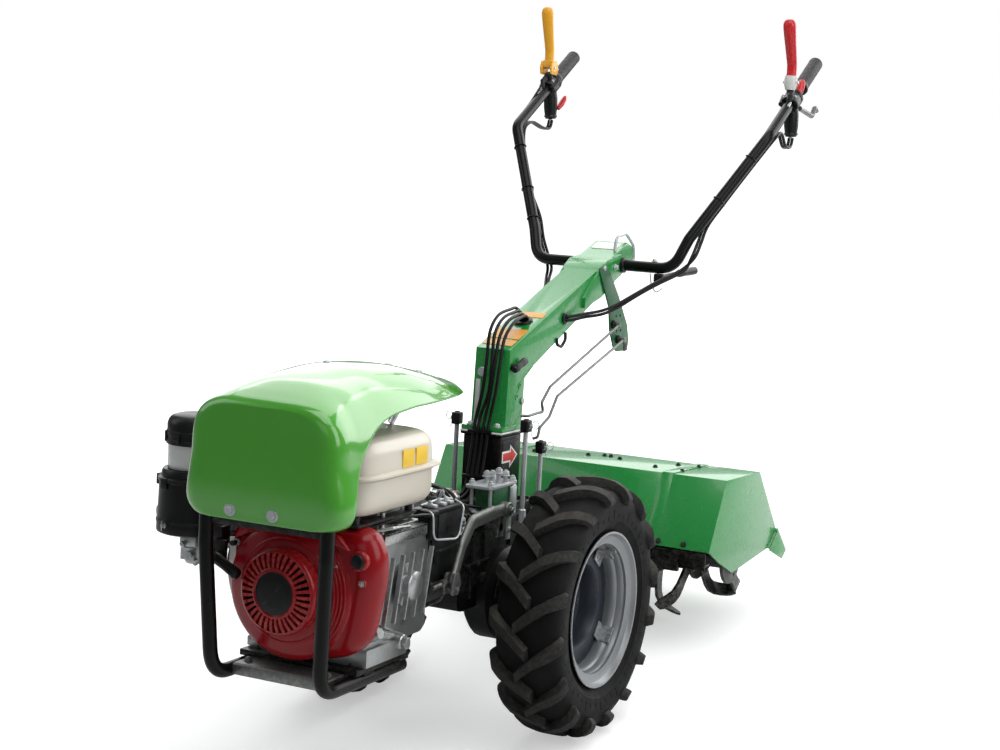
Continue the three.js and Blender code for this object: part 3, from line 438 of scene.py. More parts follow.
def bolt(bm, place, direction, size=6.0, height=5.0, washer=1.0):
    """A hexagon head on a washer, standing on the given point."""
    d = Vector(direction).normalized()
    p = Vector(place)
    if washer:
        rod(bm, p, p + d * 1.6 * washer, size * 1.35, n=24, chamfer=0.4)
    u, v = across(d)
    top = p + d * (1.4 * washer)
    rings = [(size, 0), (size, height * 0.8), (size * 0.86, height)]
    skin(bm, [circle(top + d * h, u, v, r, 6) for r, h in rings])
    rod(bm, top + d * height * 0.9, top + d * (height + 1.2), size * 0.5, n=16, chamfer=0.5)


def screw(bm, place, direction, size=4.0):
    """A low domed screw head."""
    d = Vector(direction).normalized()
    profile = [(size, 0), (size, size * 0.2), (size * 0.8, size * 0.45), (size * 0.4, size * 0.55),
               (size * 0.35, size * 0.25)]
    lathe(bm, profile, place, d, 20, wrap=False)


def piece(name, bm, material, body, *nodes, sharp=34):
    """Puts a drawn mesh in place as an object that rides a body and stands for the given CAD nodes."""
    bm.transform(LEVEL)
    bmesh.ops.recalc_face_normals(bm, faces=bm.faces)
    for face in bm.faces:
        face.smooth = True
    for edge in bm.edges:
        edge.smooth = len(edge.link_faces) != 2 or edge.calc_face_angle(0) < math.radians(sharp)
    mesh = bpy.data.meshes.new(name)
    bm.to_mesh(mesh)
    bm.free()
    ob = bpy.data.objects.new(name, mesh)
    bpy.context.scene.collection.objects.link(ob)
    mesh.materials.append(MATERIALS[material])
    if body:
        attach(ob, body)
    if nodes:
        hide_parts(*nodes)
    return ob


def from_node(node, bevel=1.2, segments=2, angle=30):
    """A CAD node's own shape with its edges rounded, back in level millimetres, ready for more detail."""
    part = bmesh.new()
    part.from_mesh(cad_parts[node].data)
    part.transform(LEVEL.inverted())
    bmesh.ops.remove_doubles(part, verts=part.verts, dist=WELD)
    bmesh.ops.dissolve_limit(part, angle_limit=math.radians(FLAT_ANGLE), verts=part.verts, edges=part.edges)
    soften(part, bevel, segments, angle)
    return part


# ---------- camera, floor and light ----------
CAMERA_FROM_AXLE = Vector((1.558, -3.306, 1.260)) + Vector((WHEEL_X / 1000, 0, 0))
CAMERA_AZIMUTH = math.radians(27.58)
CAMERA_ELEVATION = math.radians(12.34)
CAMERA_ROLL = math.radians(-0.05)
LENS_MM = 70.56
SENSOR_MM = 36
VIEW_END = 60


def look(azimuth, elevation, roll=0.0):
    """Turns a camera or lamp, which faces down at rest, to face the object from the given side."""
    return (
        Matrix.Rotation(azimuth, 4, "Z")
        @ Matrix.Rotation(math.pi / 2 - elevation, 4, "X")
        @ Matrix.Rotation(roll, 4, "Z")
    )


camera = bpy.data.objects.new("camera", bpy.data.cameras.new("camera"))
camera.data.lens = LENS_MM
camera.data.sensor_width = SENSOR_MM
camera.data.clip_end = VIEW_END
camera.matrix_world = Matrix.Translation(AXLE + CAMERA_FROM_AXLE) @ look(CAMERA_AZIMUTH, CAMERA_ELEVATION,
    CAMERA_ROLL)
bpy.context.scene.collection.objects.link(camera)
bpy.context.scene.camera = camera
bpy.context.scene.view_settings.view_transform = "Standard"


def lamp(name, azimuth, elevation, distance, width, height, watts, target=(0, 0, 0.55)):
    data = bpy.data.lights.new(name, "AREA")
    data.shape = "RECTANGLE"
    data.size = width
    data.size_y = height
    data.energy = watts
    turn = look(math.radians(azimuth), math.radians(elevation))
    place = Vector(target) + turn @ Vector((0, 0, distance))
    ob = bpy.data.objects.new(name, data)
    ob.matrix_world = Matrix.Translation(place) @ turn
    bpy.context.scene.collection.objects.link(ob)


lamp("top_softbox", 60, 72, 2.8, 2.6, 2.6, 50)
lamp("right_softbox", 82, 24, 3.2, 1.8, 2.2, 34)
lamp("left_softbox", -62, 30, 3.2, 1.4, 2.2, 12)
lamp("front_fill", 14, 24, 4.6, 2.4, 1.6, 7)
lamp("back_softbox", 205, 22, 4.2, 5.0, 3.0, 95)
lamp("high_back_softbox", 205, 52, 4.2, 4.4, 2.6, 72)
lamp("back_right_softbox", 150, 20, 4.2, 3.0, 3.0, 90)

WORLD_STRENGTH = 0.2
world = bpy.data.worlds.new("studio")
bpy.context.scene.world = world
world.use_nodes = True
wt = world.node_tree
wt.nodes.clear()
# Camera and transmitted rays see white; reflections and bounced light see the dim sky.
path = wt.nodes.new("ShaderNodeLightPath")
seen = wt.nodes.new("ShaderNodeMath")
seen.operation = "MAXIMUM"
wt.links.new(path.outputs["Is Camera Ray"], seen.inputs[0])
wt.links.new(path.outputs["Is Transmission Ray"], seen.inputs[1])
plain = wt.nodes.new("ShaderNodeBackground")
plain.inputs["Color"].default_value = (0.9, 0.93, 1.0, 1)
plain.inputs["Strength"].default_value = WORLD_STRENGTH
white = wt.nodes.new("ShaderNodeBackground")
white.inputs["Color"].default_value = (1, 1, 1, 1)
white.inputs["Strength"].default_value = 1.0
both = wt.nodes.new("ShaderNodeMixShader")
wt.links.new(seen.outputs[0], both.inputs[0])
wt.links.new(plain.outputs[0], both.inputs[1])
wt.links.new(white.outputs[0], both.inputs[2])
sky = wt.nodes.new("ShaderNodeOutputWorld")
wt.links.new(both.outputs[0], sky.inputs["Surface"])

FLOOR_HALF = 14.0
FLOOR_GAP = 0.0005
FLOOR_LIFT = 0.45  # added to the floor near the machine, where its shadow falls
FLOOR_NEAR = 1.6
FLOOR_FAR = 3.6
floor_mesh = bpy.data.meshes.new("floor")
floor_z = cad_box[0][2] - FLOOR_GAP
floor_mesh.from_pydata(
    [(-FLOOR_HALF, -FLOOR_HALF, floor_z), (FLOOR_HALF, -FLOOR_HALF, floor_z),
     (FLOOR_HALF, FLOOR_HALF, floor_z), (-FLOOR_HALF, FLOOR_HALF, floor_z)], [], [(0, 1, 2, 3)])
floor = bpy.data.objects.new("floor", floor_mesh)
bpy.context.scene.collection.objects.link(floor)
ground = Nodes("floor_finish")
lit = ground.add("ShaderNodeBsdfDiffuse")
tint = ground.mix(ground.span(ground.noise(3, 4), 0.3, 0.7), (0.74, 0.74, 0.74, 1), (0.76, 0.76, 0.76, 1))
ground.link(tint, lit.inputs["Color"])
lift = ground.add("ShaderNodeEmission")
lift.inputs["Color"].default_value = (1, 1, 1, 1)
ray = ground.add("ShaderNodeLightPath")
spot = ground.add("ShaderNodeNewGeometry")
away = ground.add("ShaderNodeVectorMath")
away.operation = "LENGTH"
ground.link(spot.outputs["Position"], away.inputs[0])
raised = ground.span(away.outputs["Value"], FLOOR_NEAR, FLOOR_FAR, FLOOR_LIFT, 1.0)
ground.link(ground.times(ray.outputs["Is Camera Ray"], raised), lift.inputs["Strength"])
total = ground.add("ShaderNodeAddShader")
ground.link(lit.outputs[0], total.inputs[0])
ground.link(lift.outputs[0], total.inputs[1])
floor_mesh.materials.append(ground.close(total.outputs[0]))

# ---------- wheels ----------
# Half of the tyre's outline beside its centre plane: (distance from the plane, radius).
CARCASS = [(0, 238), (22, 237.5), (42, 235), (56, 229), (64, 219), (67.5, 205), (67, 190), (64, 176),
           (60, 166), (56, 159), (53, 154)]


def carcass_at(s):
    """Point and outward direction on the carcass at a distance along its half outline."""
    pts = [Vector((abs(a), b)) for a, b in CARCASS]
    lengths = [(b - a).length for a, b in zip(pts, pts[1:])]
    sign = -1 if s < 0 else 1
    left = abs(s)
    for a, b, length in zip(pts, pts[1:], lengths):
        if left <= length or b is pts[-1]:
            p = a.lerp(b, min(1.0, left / length))
            break
        left -= length
    tilt = math.pi / 2 * min(1.0, max(0.0, (abs(s) - 26) / 46)) ** 1.15
    out = Vector((math.sin(tilt), math.cos(tilt)))
    return Vector((sign * p.x, p.y)), Vector((sign * out.x, out.y))


LUG_SECTIONS = 20
LUG_INNER = 13  # how far a lug starts past the centre plane
LUG_OUTER = 80  # how far it runs over the shoulder, along the outline
LUG_RUN = 74  # how far it slants round the tread


def lug(bm, angle, side):
    """One bar of the tread, slanting from the centre over the shoulder."""
    rings = []
    for i in range(LUG_SECTIONS + 1):
        t = i / LUG_SECTIONS
        s = -LUG_INNER + (LUG_OUTER + LUG_INNER) * t
        p, out = carcass_at(s)
        bend = 0.7 * t + 0.3 * math.sin(t * math.pi / 2)
        turn = angle - (LUG_RUN / TYRE_R) * bend
        width = 10.5 + 2.0 * t
        fade = 1 - 0.75 * max(0.0, (s - 66) / (LUG_OUTER - 66)) ** 2
        height = (LUG_H - 0.5 - 3.5 * max(0, s / LUG_OUTER)) * fade + 0.6
        if p.y + height * out.y > TYRE_R - 0.4:
            height = (TYRE_R - 0.4 - p.y) / out.y
        ring = []
        for across_by, up in ((1.25, -3), (1.0, 0.93), (0.93, 1.0), (-0.93, 1.0), (-1.0, 0.93),
                              (-1.25, -3)):
            h = height * up if up > 0 else up
            q = p + out * h
            a = turn + across_by * width / TYRE_R
            ring.append((side * q.x, -math.sin(a) * q.y, math.cos(a) * q.y))
        rings.append(ring)
    skin(bm, rings)


def tread(side):
    bm = bmesh.new()
    step = 2 * math.pi / LUGS
    for k in range(LUGS):
        lug(bm, k * step, 1)
        lug(bm, (k + 0.5) * step, -1)
    bm.transform(Matrix.Translation((side * WHEEL_X, 0, TYRE_R)))
    return bm


def tyre(side):
    bm = bmesh.new()
    outline = [(r, x) for x, r in CARCASS]
    ribs = [(171, 62.8), (173, 64.6), (175.5, 64.6), (177.5, 65.0)]
    outer = outline[:7] + ribs[::-1] + outline[8:]
    profile = outer + [(150, 51), (128.3, 48)]
    closed = profile + [(r, -x) for r, x in profile[::-1]][:-1]
    lathe(bm, closed, (0, 0, 0), (1, 0, 0), 160)
    # Small moulded blocks and raised marks round both sidewalls.
    for k in range(48):
        for flank in (1, -1):
            a = 2 * math.pi * (k + 0.25) / 48
            r0, r1 = (181, 190) if k % 3 else (181, 197)
            mark = [Vector((flank * (65.2 + (r - 181) * 0.12), r * math.sin(a), r * math.cos(a)))
                    for r in (r0, r1)]
            rod(bm, mark[0], mark[1], 1.5, n=6, chamfer=0.5)
    bm.transform(Matrix.Translation((side * WHEEL_X, 0, TYRE_R)))
    return bm


RIM_SEAT_R = 128


def rim_barrel(side):
    """The rim's well and flanges as one sheet, stepped as a pressed wheel is."""
    bm = bmesh.new()
    s = RIM_SEAT_R
    outer = [
        (s - 4, -56), (146, -58), (150, -61.5), (152.6, -61.5), (152.9, -59), (149, -55), (s, -52.5),
        (s, 48.5), (146.5, 54), (150, 57.5), (152.9, 59.5), (152.6, 61.6), (151, 62), (148.6, 61.2),
        (145.5, 56),
        (142, 51.5), (136, 48), (131, 46.2), (127.6, 43), (125.2, 37), (124.3, 30), (121.5, 27.2),
        (119.6, 24),
        (119.2, 15), (120.4, 10), (120.4, -30), (s - 4, -42),
    ]
    lathe(bm, outer, (0, 0, 0), (1, 0, 0), 128)
    bm.transform(Matrix.Translation((side * WHEEL_X, 0, TYRE_R)))
    return bm


for side, s in (("left", 1), ("right", -1)):
    body = f"wheel_{side}"
    piece(f"tyre_{side}_carcass", tyre(s), "tyre", body, f"tyre_{side}", sharp=40)
    piece(f"tyre_{side}_lugs", tread(s), "lug", body, sharp=40)

    barrel = rim_barrel(1)
    disc = bmesh.new()
    # Pressed disc with a dish, a rolled edge and a ring of slots' bosses.
    lathe(disc, [(30, 222), (66, 222), (72, 225), (78, 240), (81, 256), (85, 261), (92, 262), (104, 262),
                 (109, 259.5), (120.3, 259.5), (120.3, 262.8), (110, 262.8), (105, 265.2), (92, 265.2),
                 (83, 264.4), (77.5, 258), (74.5, 242), (70, 229), (64, 225.4), (30, 225.4)],
          (0, 0, TYRE_R), (1, 0, 0), 128)
    for k in range(5):
        a = 2 * math.pi * k / 5 + 0.35
        bolt(disc, (225.4, 46 * math.sin(a), TYRE_R + 46 * math.cos(a)), (1, 0, 0), 8, 9)
    # Slotted brackets welded inside the rim.
    brackets = bmesh.new()
    for k in range(4):
        a = 2 * math.pi * k / 4 + math.radians(52)
        part = bmesh.new()
        skin(part, [[(x, u, v) for u, v in ((-17, 96), (17, 96), (17, 121), (-17, 121))]
                    for x in (265.4, 269)])
        soften(part, 1.2)
        skin(part, [[(x, u, v) for u, v in ((-17, 117), (17, 117), (17, 121), (-17, 121))]
                    for x in (266, 292)])
        rod(part, (268.4, -7, 106), (270.4, -7, 106), 4.2, n=16, chamfer=0.4)
        rod(part, (268.4, 7, 106), (270.4, 7, 106), 4.2, n=16, chamfer=0.4)
        part.transform(Matrix.Translation((0, 0, TYRE_R)) @ Matrix.Rotation(a, 4, "X"))
        merged(brackets, part)
    # Valve stem through the well.
    rod(brackets, (292, 60, TYRE_R + 101), (306, 62, TYRE_R + 104), 3.6, 3.2, n=16)

    hub = bmesh.new()
    lathe(hub, [(0, 186.4), (31, 186.4), (31, 204), (36, 208), (60, 209), (60, 219.6), (33, 219.6)],
          (0, 0, TYRE_R), (1, 0, 0), 64, wrap=False)
    lathe(hub, [(29.6, 219), (29.6, 231), (27, 234), (22, 235), (20, 245.6), (0, 246)],
          (0, 0, TYRE_R), (1, 0, 0), 48, wrap=False)
    parts = (("barrel", barrel, "rim", (f"rim_{side}",)), ("disc", disc, "disc", ()),
             ("brackets", brackets, "rim", ()), ("hub", hub, "casting", (f"hub_{side}",)))
    for label, bm, material, nodes in parts:
        if s < 0:
            bm.transform(Matrix.Diagonal((-1, 1, 1, 1)))
        piece(f"wheel_{side}_{label}", bm, material, body, *nodes)

# ---------- bonnet ----------
# Stations from nose to tail: y, half-width below, half-width at the shoulder line, top,
# shoulder line's height, and how square the shoulders are.
BONNET_STATIONS = np.array([
    (-745, 130, 120, 689, 606, 4.4),
    (-738, 149, 138, 698, 602, 4.0),
    (-724, 160, 149, 706, 598, 3.5),
    (-700, 165, 152, 718, 597, 2.9),
    (-660, 167, 152, 733, 598, 2.4),
    (-600, 166, 150, 742, 600, 2.3),
    (-520, 163, 146, 747, 604, 2.4),
    (-410, 155, 138, 741, 612, 2.5),
    (-300, 137, 120, 723, 622, 2.5),
    (-210, 111, 94, 704, 630, 2.4),
    (-140, 81, 66, 688, 636, 2.3),
    (-98, 51, 40, 675, 646, 2.2),
    (-80, 27, 20, 668, 652, 2.1),
], float)
# Lower edge of the bonnet's side, as (y, z): the opening beside the tank sweeps up to the tail.
BONNET_EDGE = np.array([(-800, 492), (-706, 492), (-698, 508), (-690, 543), (-668, 595), (-638, 630),
                        (-592, 658), (-540, 670), (-450, 676), (-300, 674), (-150, 667), (-90, 662),
                        (0, 658)], float)
BONNET_LOW = 492
BONNET_WALL = 4.5
NOSE_LEAN = 7
ACROSS = 26


def flowing(y, ys, values):
    """Value at y on a smooth curve through the stations that never overshoots between them."""
    steps = np.diff(ys)
    slopes = np.diff(values) / steps
    lean = np.zeros(len(ys))
    lean[0], lean[-1] = slopes[0], slopes[-1]
    for i in range(1, len(ys) - 1):
        if slopes[i - 1] * slopes[i] > 0:
            w1, w2 = 2 * steps[i] + steps[i - 1], steps[i] + 2 * steps[i - 1]
            lean[i] = (w1 + w2) / (w1 / slopes[i - 1] + w2 / slopes[i])
    y = min(max(y, ys[0]), ys[-1])
    i = min(int(np.searchsorted(ys, y, side="right")) - 1, len(steps) - 1)
    t = (y - ys[i]) / steps[i]
    return ((1 + 2 * t) * (1 - t) ** 2 * values[i] + t * (1 - t) ** 2 * steps[i] * lean[i]
            + t * t * (3 - 2 * t) * values[i + 1] + t * t * (t - 1) * steps[i] * lean[i + 1])


def bonnet_half(y):
    """Half of the bonnet's section at y, from its lower edge to the middle of its top."""
    low, high, top, shoulder, square = [flowing(y, BONNET_STATIONS[:, 0], BONNET_STATIONS[:, k])
                                        for k in range(1, 6)]
    points = [(low - 26, BONNET_LOW), (low - 15, BONNET_LOW + 3), (low - 6, BONNET_LOW + 11),
              (low - 1, BONNET_LOW + 23), (low, BONNET_LOW + 36)]
    points += [(low + (high - low) * t, BONNET_LOW + 36 + (shoulder - BONNET_LOW - 36) * t)
               for t in (0.35, 0.7)]
    for k in range(61):
        a = math.pi / 2 * k / 60
        points.append((high * max(0, math.cos(a)) ** (2 / square),
                       shoulder + (top - shoulder) * max(0, math.sin(a)) ** (2 / square)))
    co = np.array(points)
    edge = np.interp(y, BONNET_EDGE[:, 0], BONNET_EDGE[:, 1])
    if edge > BONNET_LOW + 1:
        first = int(np.argmax(co[:, 1] > edge))
        k = (edge - co[first - 1, 1]) / (co[first, 1] - co[first - 1, 1])
        co = np.vstack([co[first - 1] + (co[first] - co[first - 1]) * k, co[first:]])
    along = np.concatenate([[0], np.cumsum(np.linalg.norm(np.diff(co, axis=0), axis=1))])
    marks = np.linspace(0, along[-1], ACROSS)
    return np.stack([np.interp(marks, along, co[:, 0]), np.interp(marks, along, co[:, 1])], 1)


def bonnet_shell():
    bm = bmesh.new()
    ys = ([-744.2, -741, -738, -732, -724, -712, -704, -699, -694, -689, -682, -674, -664, -652, -636,
           -618, -600] + list(np.linspace(-578, -110, 22)) + [-97, -87, -81])
    rows = []
    for y in ys:
        half = bonnet_half(y)
        right = [(-x, y, z) for x, z in half[::-1][1:]]
        rows.append([bm.verts.new((x, y, z)) for x, z in half] + [bm.verts.new(p) for p in right])
    for a, b in zip(rows, rows[1:]):
        for i in range(len(a) - 1):
            bm.faces.new((a[i], a[i + 1], b[i + 1], b[i]))
    # The nose is a gently bowed face between the two halves of the first section.
    half = bonnet_half(ys[0])
    first = rows[0]
    columns = 14
    ladder = []
    for i in range(ACROSS - 1):
        x, z = half[i]
        line = [first[i]]
        for c in range(1, columns):
            s = 1 - 2 * c / columns
            rise = 1 - ((z - 590) / 110) ** 2
            line.append(bm.verts.new((x * s, ys[0] - 0.8 * (1 - s * s) * max(0.2, rise), z)))
        line.append(first[-1 - i])
        ladder.append(line)
    for a, b in zip(ladder, ladder[1:]):
        for i in range(columns):
            bm.faces.new((a[i], b[i], b[i + 1], a[i + 1]))
    peak = first[ACROSS - 1]
    for i in range(columns):
        bm.faces.new((ladder[-1][i], peak, ladder[-1][i + 1]))
    # The nose leans back a little towards its lower edge, where its bolts sit.
    for v in bm.verts:
        low = min(1.0, max(0.0, (560 - v.co.z) / 60))
        near = min(1.0, max(0.0, (-660 - v.co.y) / 60))
        v.co.y += NOSE_LEAN * low * low * near
    bmesh.ops.recalc_face_normals(bm, faces=bm.faces)
    return bm


def applied(ob):
    """Bakes an object's modifiers into its mesh."""
    graph = bpy.context.evaluated_depsgraph_get()
    mesh = bpy.data.meshes.new_from_object(ob.evaluated_get(graph))
    old = ob.data
    ob.modifiers.clear()
    ob.data = mesh
    bpy.data.meshes.remove(old)
    return ob


bonnet = piece("bonnet_shell", bonnet_shell(), "bonnet", None, sharp=70)
outward = sum((p.normal.z for p in bonnet.data.polygons if p.center.z > at(0, -500, 700).z))
wall = bonnet.modifiers.new("wall", "SOLIDIFY")
wall.thickness = BONNET_WALL / 1000
wall.offset = -1 if outward > 0 else 1
smooth = bonnet.modifiers.new("smooth", "SUBSURF")
smooth.levels = smooth.render_levels = 1
applied(bonnet)
for polygon in bonnet.data.polygons:
    polygon.use_smooth = True
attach(bonnet, "chassis")
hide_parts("bonnet")


def bonnet_top(x, y):
    """Height of the bonnet's upper surface."""
    half = bonnet_half(y)
    return float(np.interp(x, half[::-1, 0], half[::-1, 1]))


fixings = bmesh.new()
for x in (29, -57):
    rod(fixings, (x, -737, 510), (x, -741, 510), 11.5, n=32)
    bolt(fixings, (x, -741, 510), (0, -1, 0), 7, 3.6, washer=0.4)
for x, y in ((-18, -514), (7, -344), (40, -286), (-44, -286)):
    screw(fixings, (x, y, bonnet_top(abs(x), y) - 0.6), (0, -0.05, 1), 7)
piece("bonnet_fixings", fixings, "zinc", "chassis")
trim = bmesh.new()
for x in (10, 34):
    line = [(x * (1 - 0.25 * t), -200 + 92 * t, bonnet_top(x * (1 - 0.25 * t), -200 + 92 * t) - 0.5)
            for t in np.linspace(0, 1, 14)]
    sweep(trim, line, 1.1, 8)
# Rubber edging inside the lower front lip, and the two brackets that carry the nose on the hoop.
for s in (1, -1):
    box(trim, s * 72 - 13, s * 72 + 13, -731, -722, 505, 616, 2)
box(trim, -96, 96, -728, -723, 496, 504, 1.5)
piece("bonnet_trim", trim, "plastic", "chassis")

bracket = bmesh.new()
for s in (1, -1):
    sweep(bracket, rounded_path([(s * 52, -404, 634), (s * 54, -380, 660), (s * 56, -340, 690),
                                 (s * 50, -330, 712)], 14), 8, 8, flat=0.25, side=(0, 0.6, 1))
    slab(bracket, rounded(s * 52 - 16, s * 52 + 16, -330, -300, 5), "z", 708, 711, 0.6)
piece("bonnet_brackets", bracket, "steel", "chassis")

# ---------- front hoop ----------
hoop = bmesh.new()


def hoop_side(s):
    return [(s * 110, -428, 206), (s * 110, -701, 206), (s * 122, -713, 440), (s * 122, -713, 610)]


tube(hoop, hoop_side(-1) + hoop_side(1)[::-1], HOOP_R, 52, 24)
box(hoop, -117, 117, -718, -708, 477, 515, 2)
box(hoop, -110, 110, -444, -430, 202, 219, 2)
for s in (1, -1):
    for y in (-560, -440):
        box(hoop, s * 110 - 13, s * 110 + 13, y - 16, y + 16, 217, 221, 1)
        bolt(hoop, (s * 110, y, 221), (0, 0, 1), 6, 5)
piece("hoop_tubes", hoop, "black", "chassis", "front_hoop")
plate = bmesh.new()
slab(plate, [(-655, 200), (-655, 218), (-652, 221), (-600, 221), (-600, 217), (-650, 217), (-651, 200)],
     "x", -98, 98, 0.8)
for s in (1, -1):
    bolt(plate, (s * 82, -630, 221), (0, 0, 1), 6, 5)
piece("hoop_plate", plate, "forged", "chassis")
sump = from_node("engine_sump_plate", 1.5)
for s in (1, -1):
    for y in (-575, -470):
        bolt(sump, (s * 96, y, 230.6), (0, 0, 1), 6, 5)
piece("sump_plate", sump, "black", "chassis", "engine_sump_plate")

# ---------- engine ----------
FAN_OUTLINE = [
    (-46, 242), (0, 236), (56, 242), (112, 258), (144, 290), (160, 350), (168, 405), (162, 448),
    (142, 476),
    (40, 482), (-70, 482), (-126, 458), (-148, 410), (-149, 372), (-136, 322), (-104, 274),
]


def smooth_loop(points, count):
    """A closed outline through the points, evenly divided."""
    loop = [Vector((u, v, 0)) for u, v in points]
    path = smooth_path(loop[-2:] + loop + loop[:2], 1.0)
    start = min(range(len(path)), key=lambda i: (path[i] - loop[0]).length)
    end = max(range(start + 60, len(path)), key=lambda i: -(path[i] - loop[0]).length)
    marks = np.linspace(start, end, count, endpoint=False)
    return [(path[int(m)].x, path[int(m)].y) for m in marks]


def scaled(outline, inset, centre=(0, 363)):
    out = []
    for u, v in outline:
        d = Vector((u - centre[0], v - centre[1]))
        d = d * (1 - inset / d.length)
        out.append((centre[0] + d.x, centre[1] + d.y))
    return out


cover = bmesh.new()
outline = smooth_loop(FAN_OUTLINE, 120)
steps = [(0, -585.3), (0, -598), (1.5, -606), (5, -614), (11, -621), (19, -627), (29, -630.5), (40, -632)]
skin(cover, [[(u, y, v) for u, v in scaled(outline, inset)] for inset, y in steps])
rolled = [(126, -628), (124, -632.5), (119, -636.5), (112, -639.4), (104, -642.2), (96, -645), (88, -648),
          (82, -650.4), (78, -651), (0.1, -651)]
lathe(cover, rolled, (0, 0, CRANK_Z), (0, 1, 0), 96, wrap=False)
# Ridges pressed round the starter's right side, and one that runs all the way round.
for r, first, last in ((91, 0, 360), (97, -58, 52), (103, -54, 48), (109, -50, 44), (115, -46, 38)):
    depth = float(np.interp(r, (78, 88, 96, 104, 112, 119), (651, 648, 645, 642.2, 639.4, 636.5)))
    turns = [math.radians(first + (last - first) * k / 60) for k in range(61)]
    sweep(cover, [(r * math.cos(t), -depth + 0.6, CRANK_Z + r * math.sin(t)) for t in turns],
          [2.2 if last - first == 360 or 3 < k < 57 else 1.0 for k in range(61)], 10)
# A shelf over the starter, a boss for the plug and the cover's screw bosses.
slab(cover, [(-118, 434), (-96, 468), (96, 470), (120, 446), (86, 452), (0, 462), (-84, 452)], "y", -640,
     -626, 3)
rod(cover, (136, -636, 430), (136, -620, 430), 18, n=36, chamfer=3)
COVER_SCREWS = [(-15, 446, -640), (-44, 440, -640), (95, 416, -637), (0, 264, -634), (142, 392, -632),
                (-112, 430, -634)]
for x, z, y in COVER_SCREWS:
    rod(cover, (x, y + 14, z), (x, y + 1, z), 9, 7.5, n=24, chamfer=1.5)
piece("fan_cover_shell", cover, "red", "chassis", "fan_cover", sharp=48)
small = bmesh.new()
for x, z, y in COVER_SCREWS:
    bolt(small, (x, y + 1, z), (0, -1, 0), 4.4, 3.5, washer=0.8)
piece("fan_cover_bolts", small, "steel", "chassis")
plug = bmesh.new()
lathe(plug, [(13, -634), (13, -638), (11, -640.5), (5, -641.5), (0.1, -641.8)], (136, 0, 430), (0, 1, 0),
      36, wrap=False)
rod(plug, (-112, -640, 430), (-112, -650, 430), 5, n=16)
piece("cover_plug", plug, "plastic", "chassis")
label = bmesh.new()
slab(label, rounded(-127, -114, 388, 438, 2), "y", -634.4, -631, 0.3)
piece("cover_label", label, "label", "chassis")

SLOTS = 34
starter = bmesh.new()
lathe(starter, [(70, -651.6), (76, -651.6), (76, -667), (75, -671.5), (72.5, -675), (69.5, -676.6),
                (68.6, -674), (70, -668)], (0, 0, CRANK_Z), (0, 1, 0), 96)
lathe(starter, [(34, -664), (44, -664), (44.5, -681.5), (42.5, -683.4), (40, -684), (39, -682.6),
                (36, -681)], (0, 0, CRANK_Z), (0, 1, 0), 72)
for k in range(SLOTS):
    a = 2 * math.pi * k / SLOTS
    c, s = math.cos(a), math.sin(a)
    ring = []
    for r, y, half in ((43, -681.4, 2.0), (50, -681.4, 2.4), (60, -679.6, 2.9), (70.5, -675.6, 3.3)):
        corners = [(r, half, y), (r, -half, y), (r, -half, -664), (r, half, -664)]
        ring.append([(u * c - w * s, v, CRANK_Z + u * s + w * c) for u, w, v in corners])
    skin(starter, ring)
piece("starter_housing", starter, "red", "chassis", "recoil_starter")
back = bmesh.new()
lathe(back, [(0.1, -662), (69, -662), (69, -656), (0.1, -656)], (0, 0, CRANK_Z), (0, 1, 0), 72,
      wrap=False)
lathe(back, [(0.1, -685), (20, -684.8), (35, -683.2), (38.6, -681.6), (38.6, -676), (0.1, -676)],
      (0, 0, CRANK_Z), (0, 1, 0), 72, wrap=False)
for k in range(12):
    a = 2 * math.pi * (k + 0.5) / 12
    rod(back, (28 * math.cos(a), -661, CRANK_Z + 28 * math.sin(a)),
        (67 * math.cos(a + 0.5), -665, CRANK_Z + 67 * math.sin(a + 0.5)), 3, n=8)
piece("starter_fan", back, "plastic", "chassis")

pull = bmesh.new()
sweep(pull, [(-140, -668, 409), (-136, -668, 407), (-126, -668, 401.8), (-112, -668, 394.5),
             (-98, -668, 387.3), (-88, -668, 382), (-84, -668, 380)], [7, 10, 10, 9.2, 10, 10.4, 8], 24)
box(pull, -150, -134, -662, -632.5, 393, 409, 2)
box(pull, -158, -134, -640, -630, 386, 430, 2)
piece("starter_pull", pull, "plastic", "chassis", "starter_grip")

alloy = from_node("engine_block", 2.5, 3)
# Side cover of the crankcase: its flange, ribs and bolts.
side_outline = smooth_loop([(-560, 292), (-500, 268), (-420, 272), (-376, 300), (-366, 350), (-372, 410),
                            (-404, 438), (-470, 444), (-530, 430), (-566, 390), (-574, 340)], 60)
slab(alloy, side_outline, "x", 117, 127, 2.5, 3)
slab(alloy, [(u + (-466 - u) * 0.16, v + (356 - v) * 0.16) for u, v in side_outline], "x", 126, 136, 4, 3)
for k in range(5):
    y = -548 + 34 * k
    slab(alloy, [(y, 300), (y + 4, 300), (y + 30, 418), (y + 26, 418)], "x", 134, 143, 1)
lathe(alloy, [(0.1, 146), (22, 146), (26, 143), (27, 132), (40, 130), (40, 126)], (0, -446, 356),
      (1, 0, 0), 48, wrap=False)
for k in range(10):
    u, v = side_outline[k * 6]
    p = (u + (-466 - u) * 0.07, v + (356 - v) * 0.07)
    rod(alloy, (120, *p), (131, *p), 8, 7, n=20)
    bolt(alloy, (131, *p), (1, 0, 0), 4.6, 4)
# Vertical ribs on the case beside the flywheel cover.
for k in range(4):
    y = -583 + 9 * k
    slab(alloy, [(100 + 5 * k, 300), (126 + 5 * k, 352), (128 + 5 * k, 430), (100, 436), (80, 300)], "y",
         y, y + 4, 1)
for s in (1, -1):
    for y in (-560, -462):
        box(alloy, s * 108 - 16, s * 108 + 16, y - 16, y + 16, 231.4, 250, 3)
        bolt(alloy, (s * 108, y, 250), (0, 0, 1), 7, 7)
slab(alloy, [(-442, 236), (-372, 262), (-372, 276), (-442, 262)], "x", -70, 100, 3)
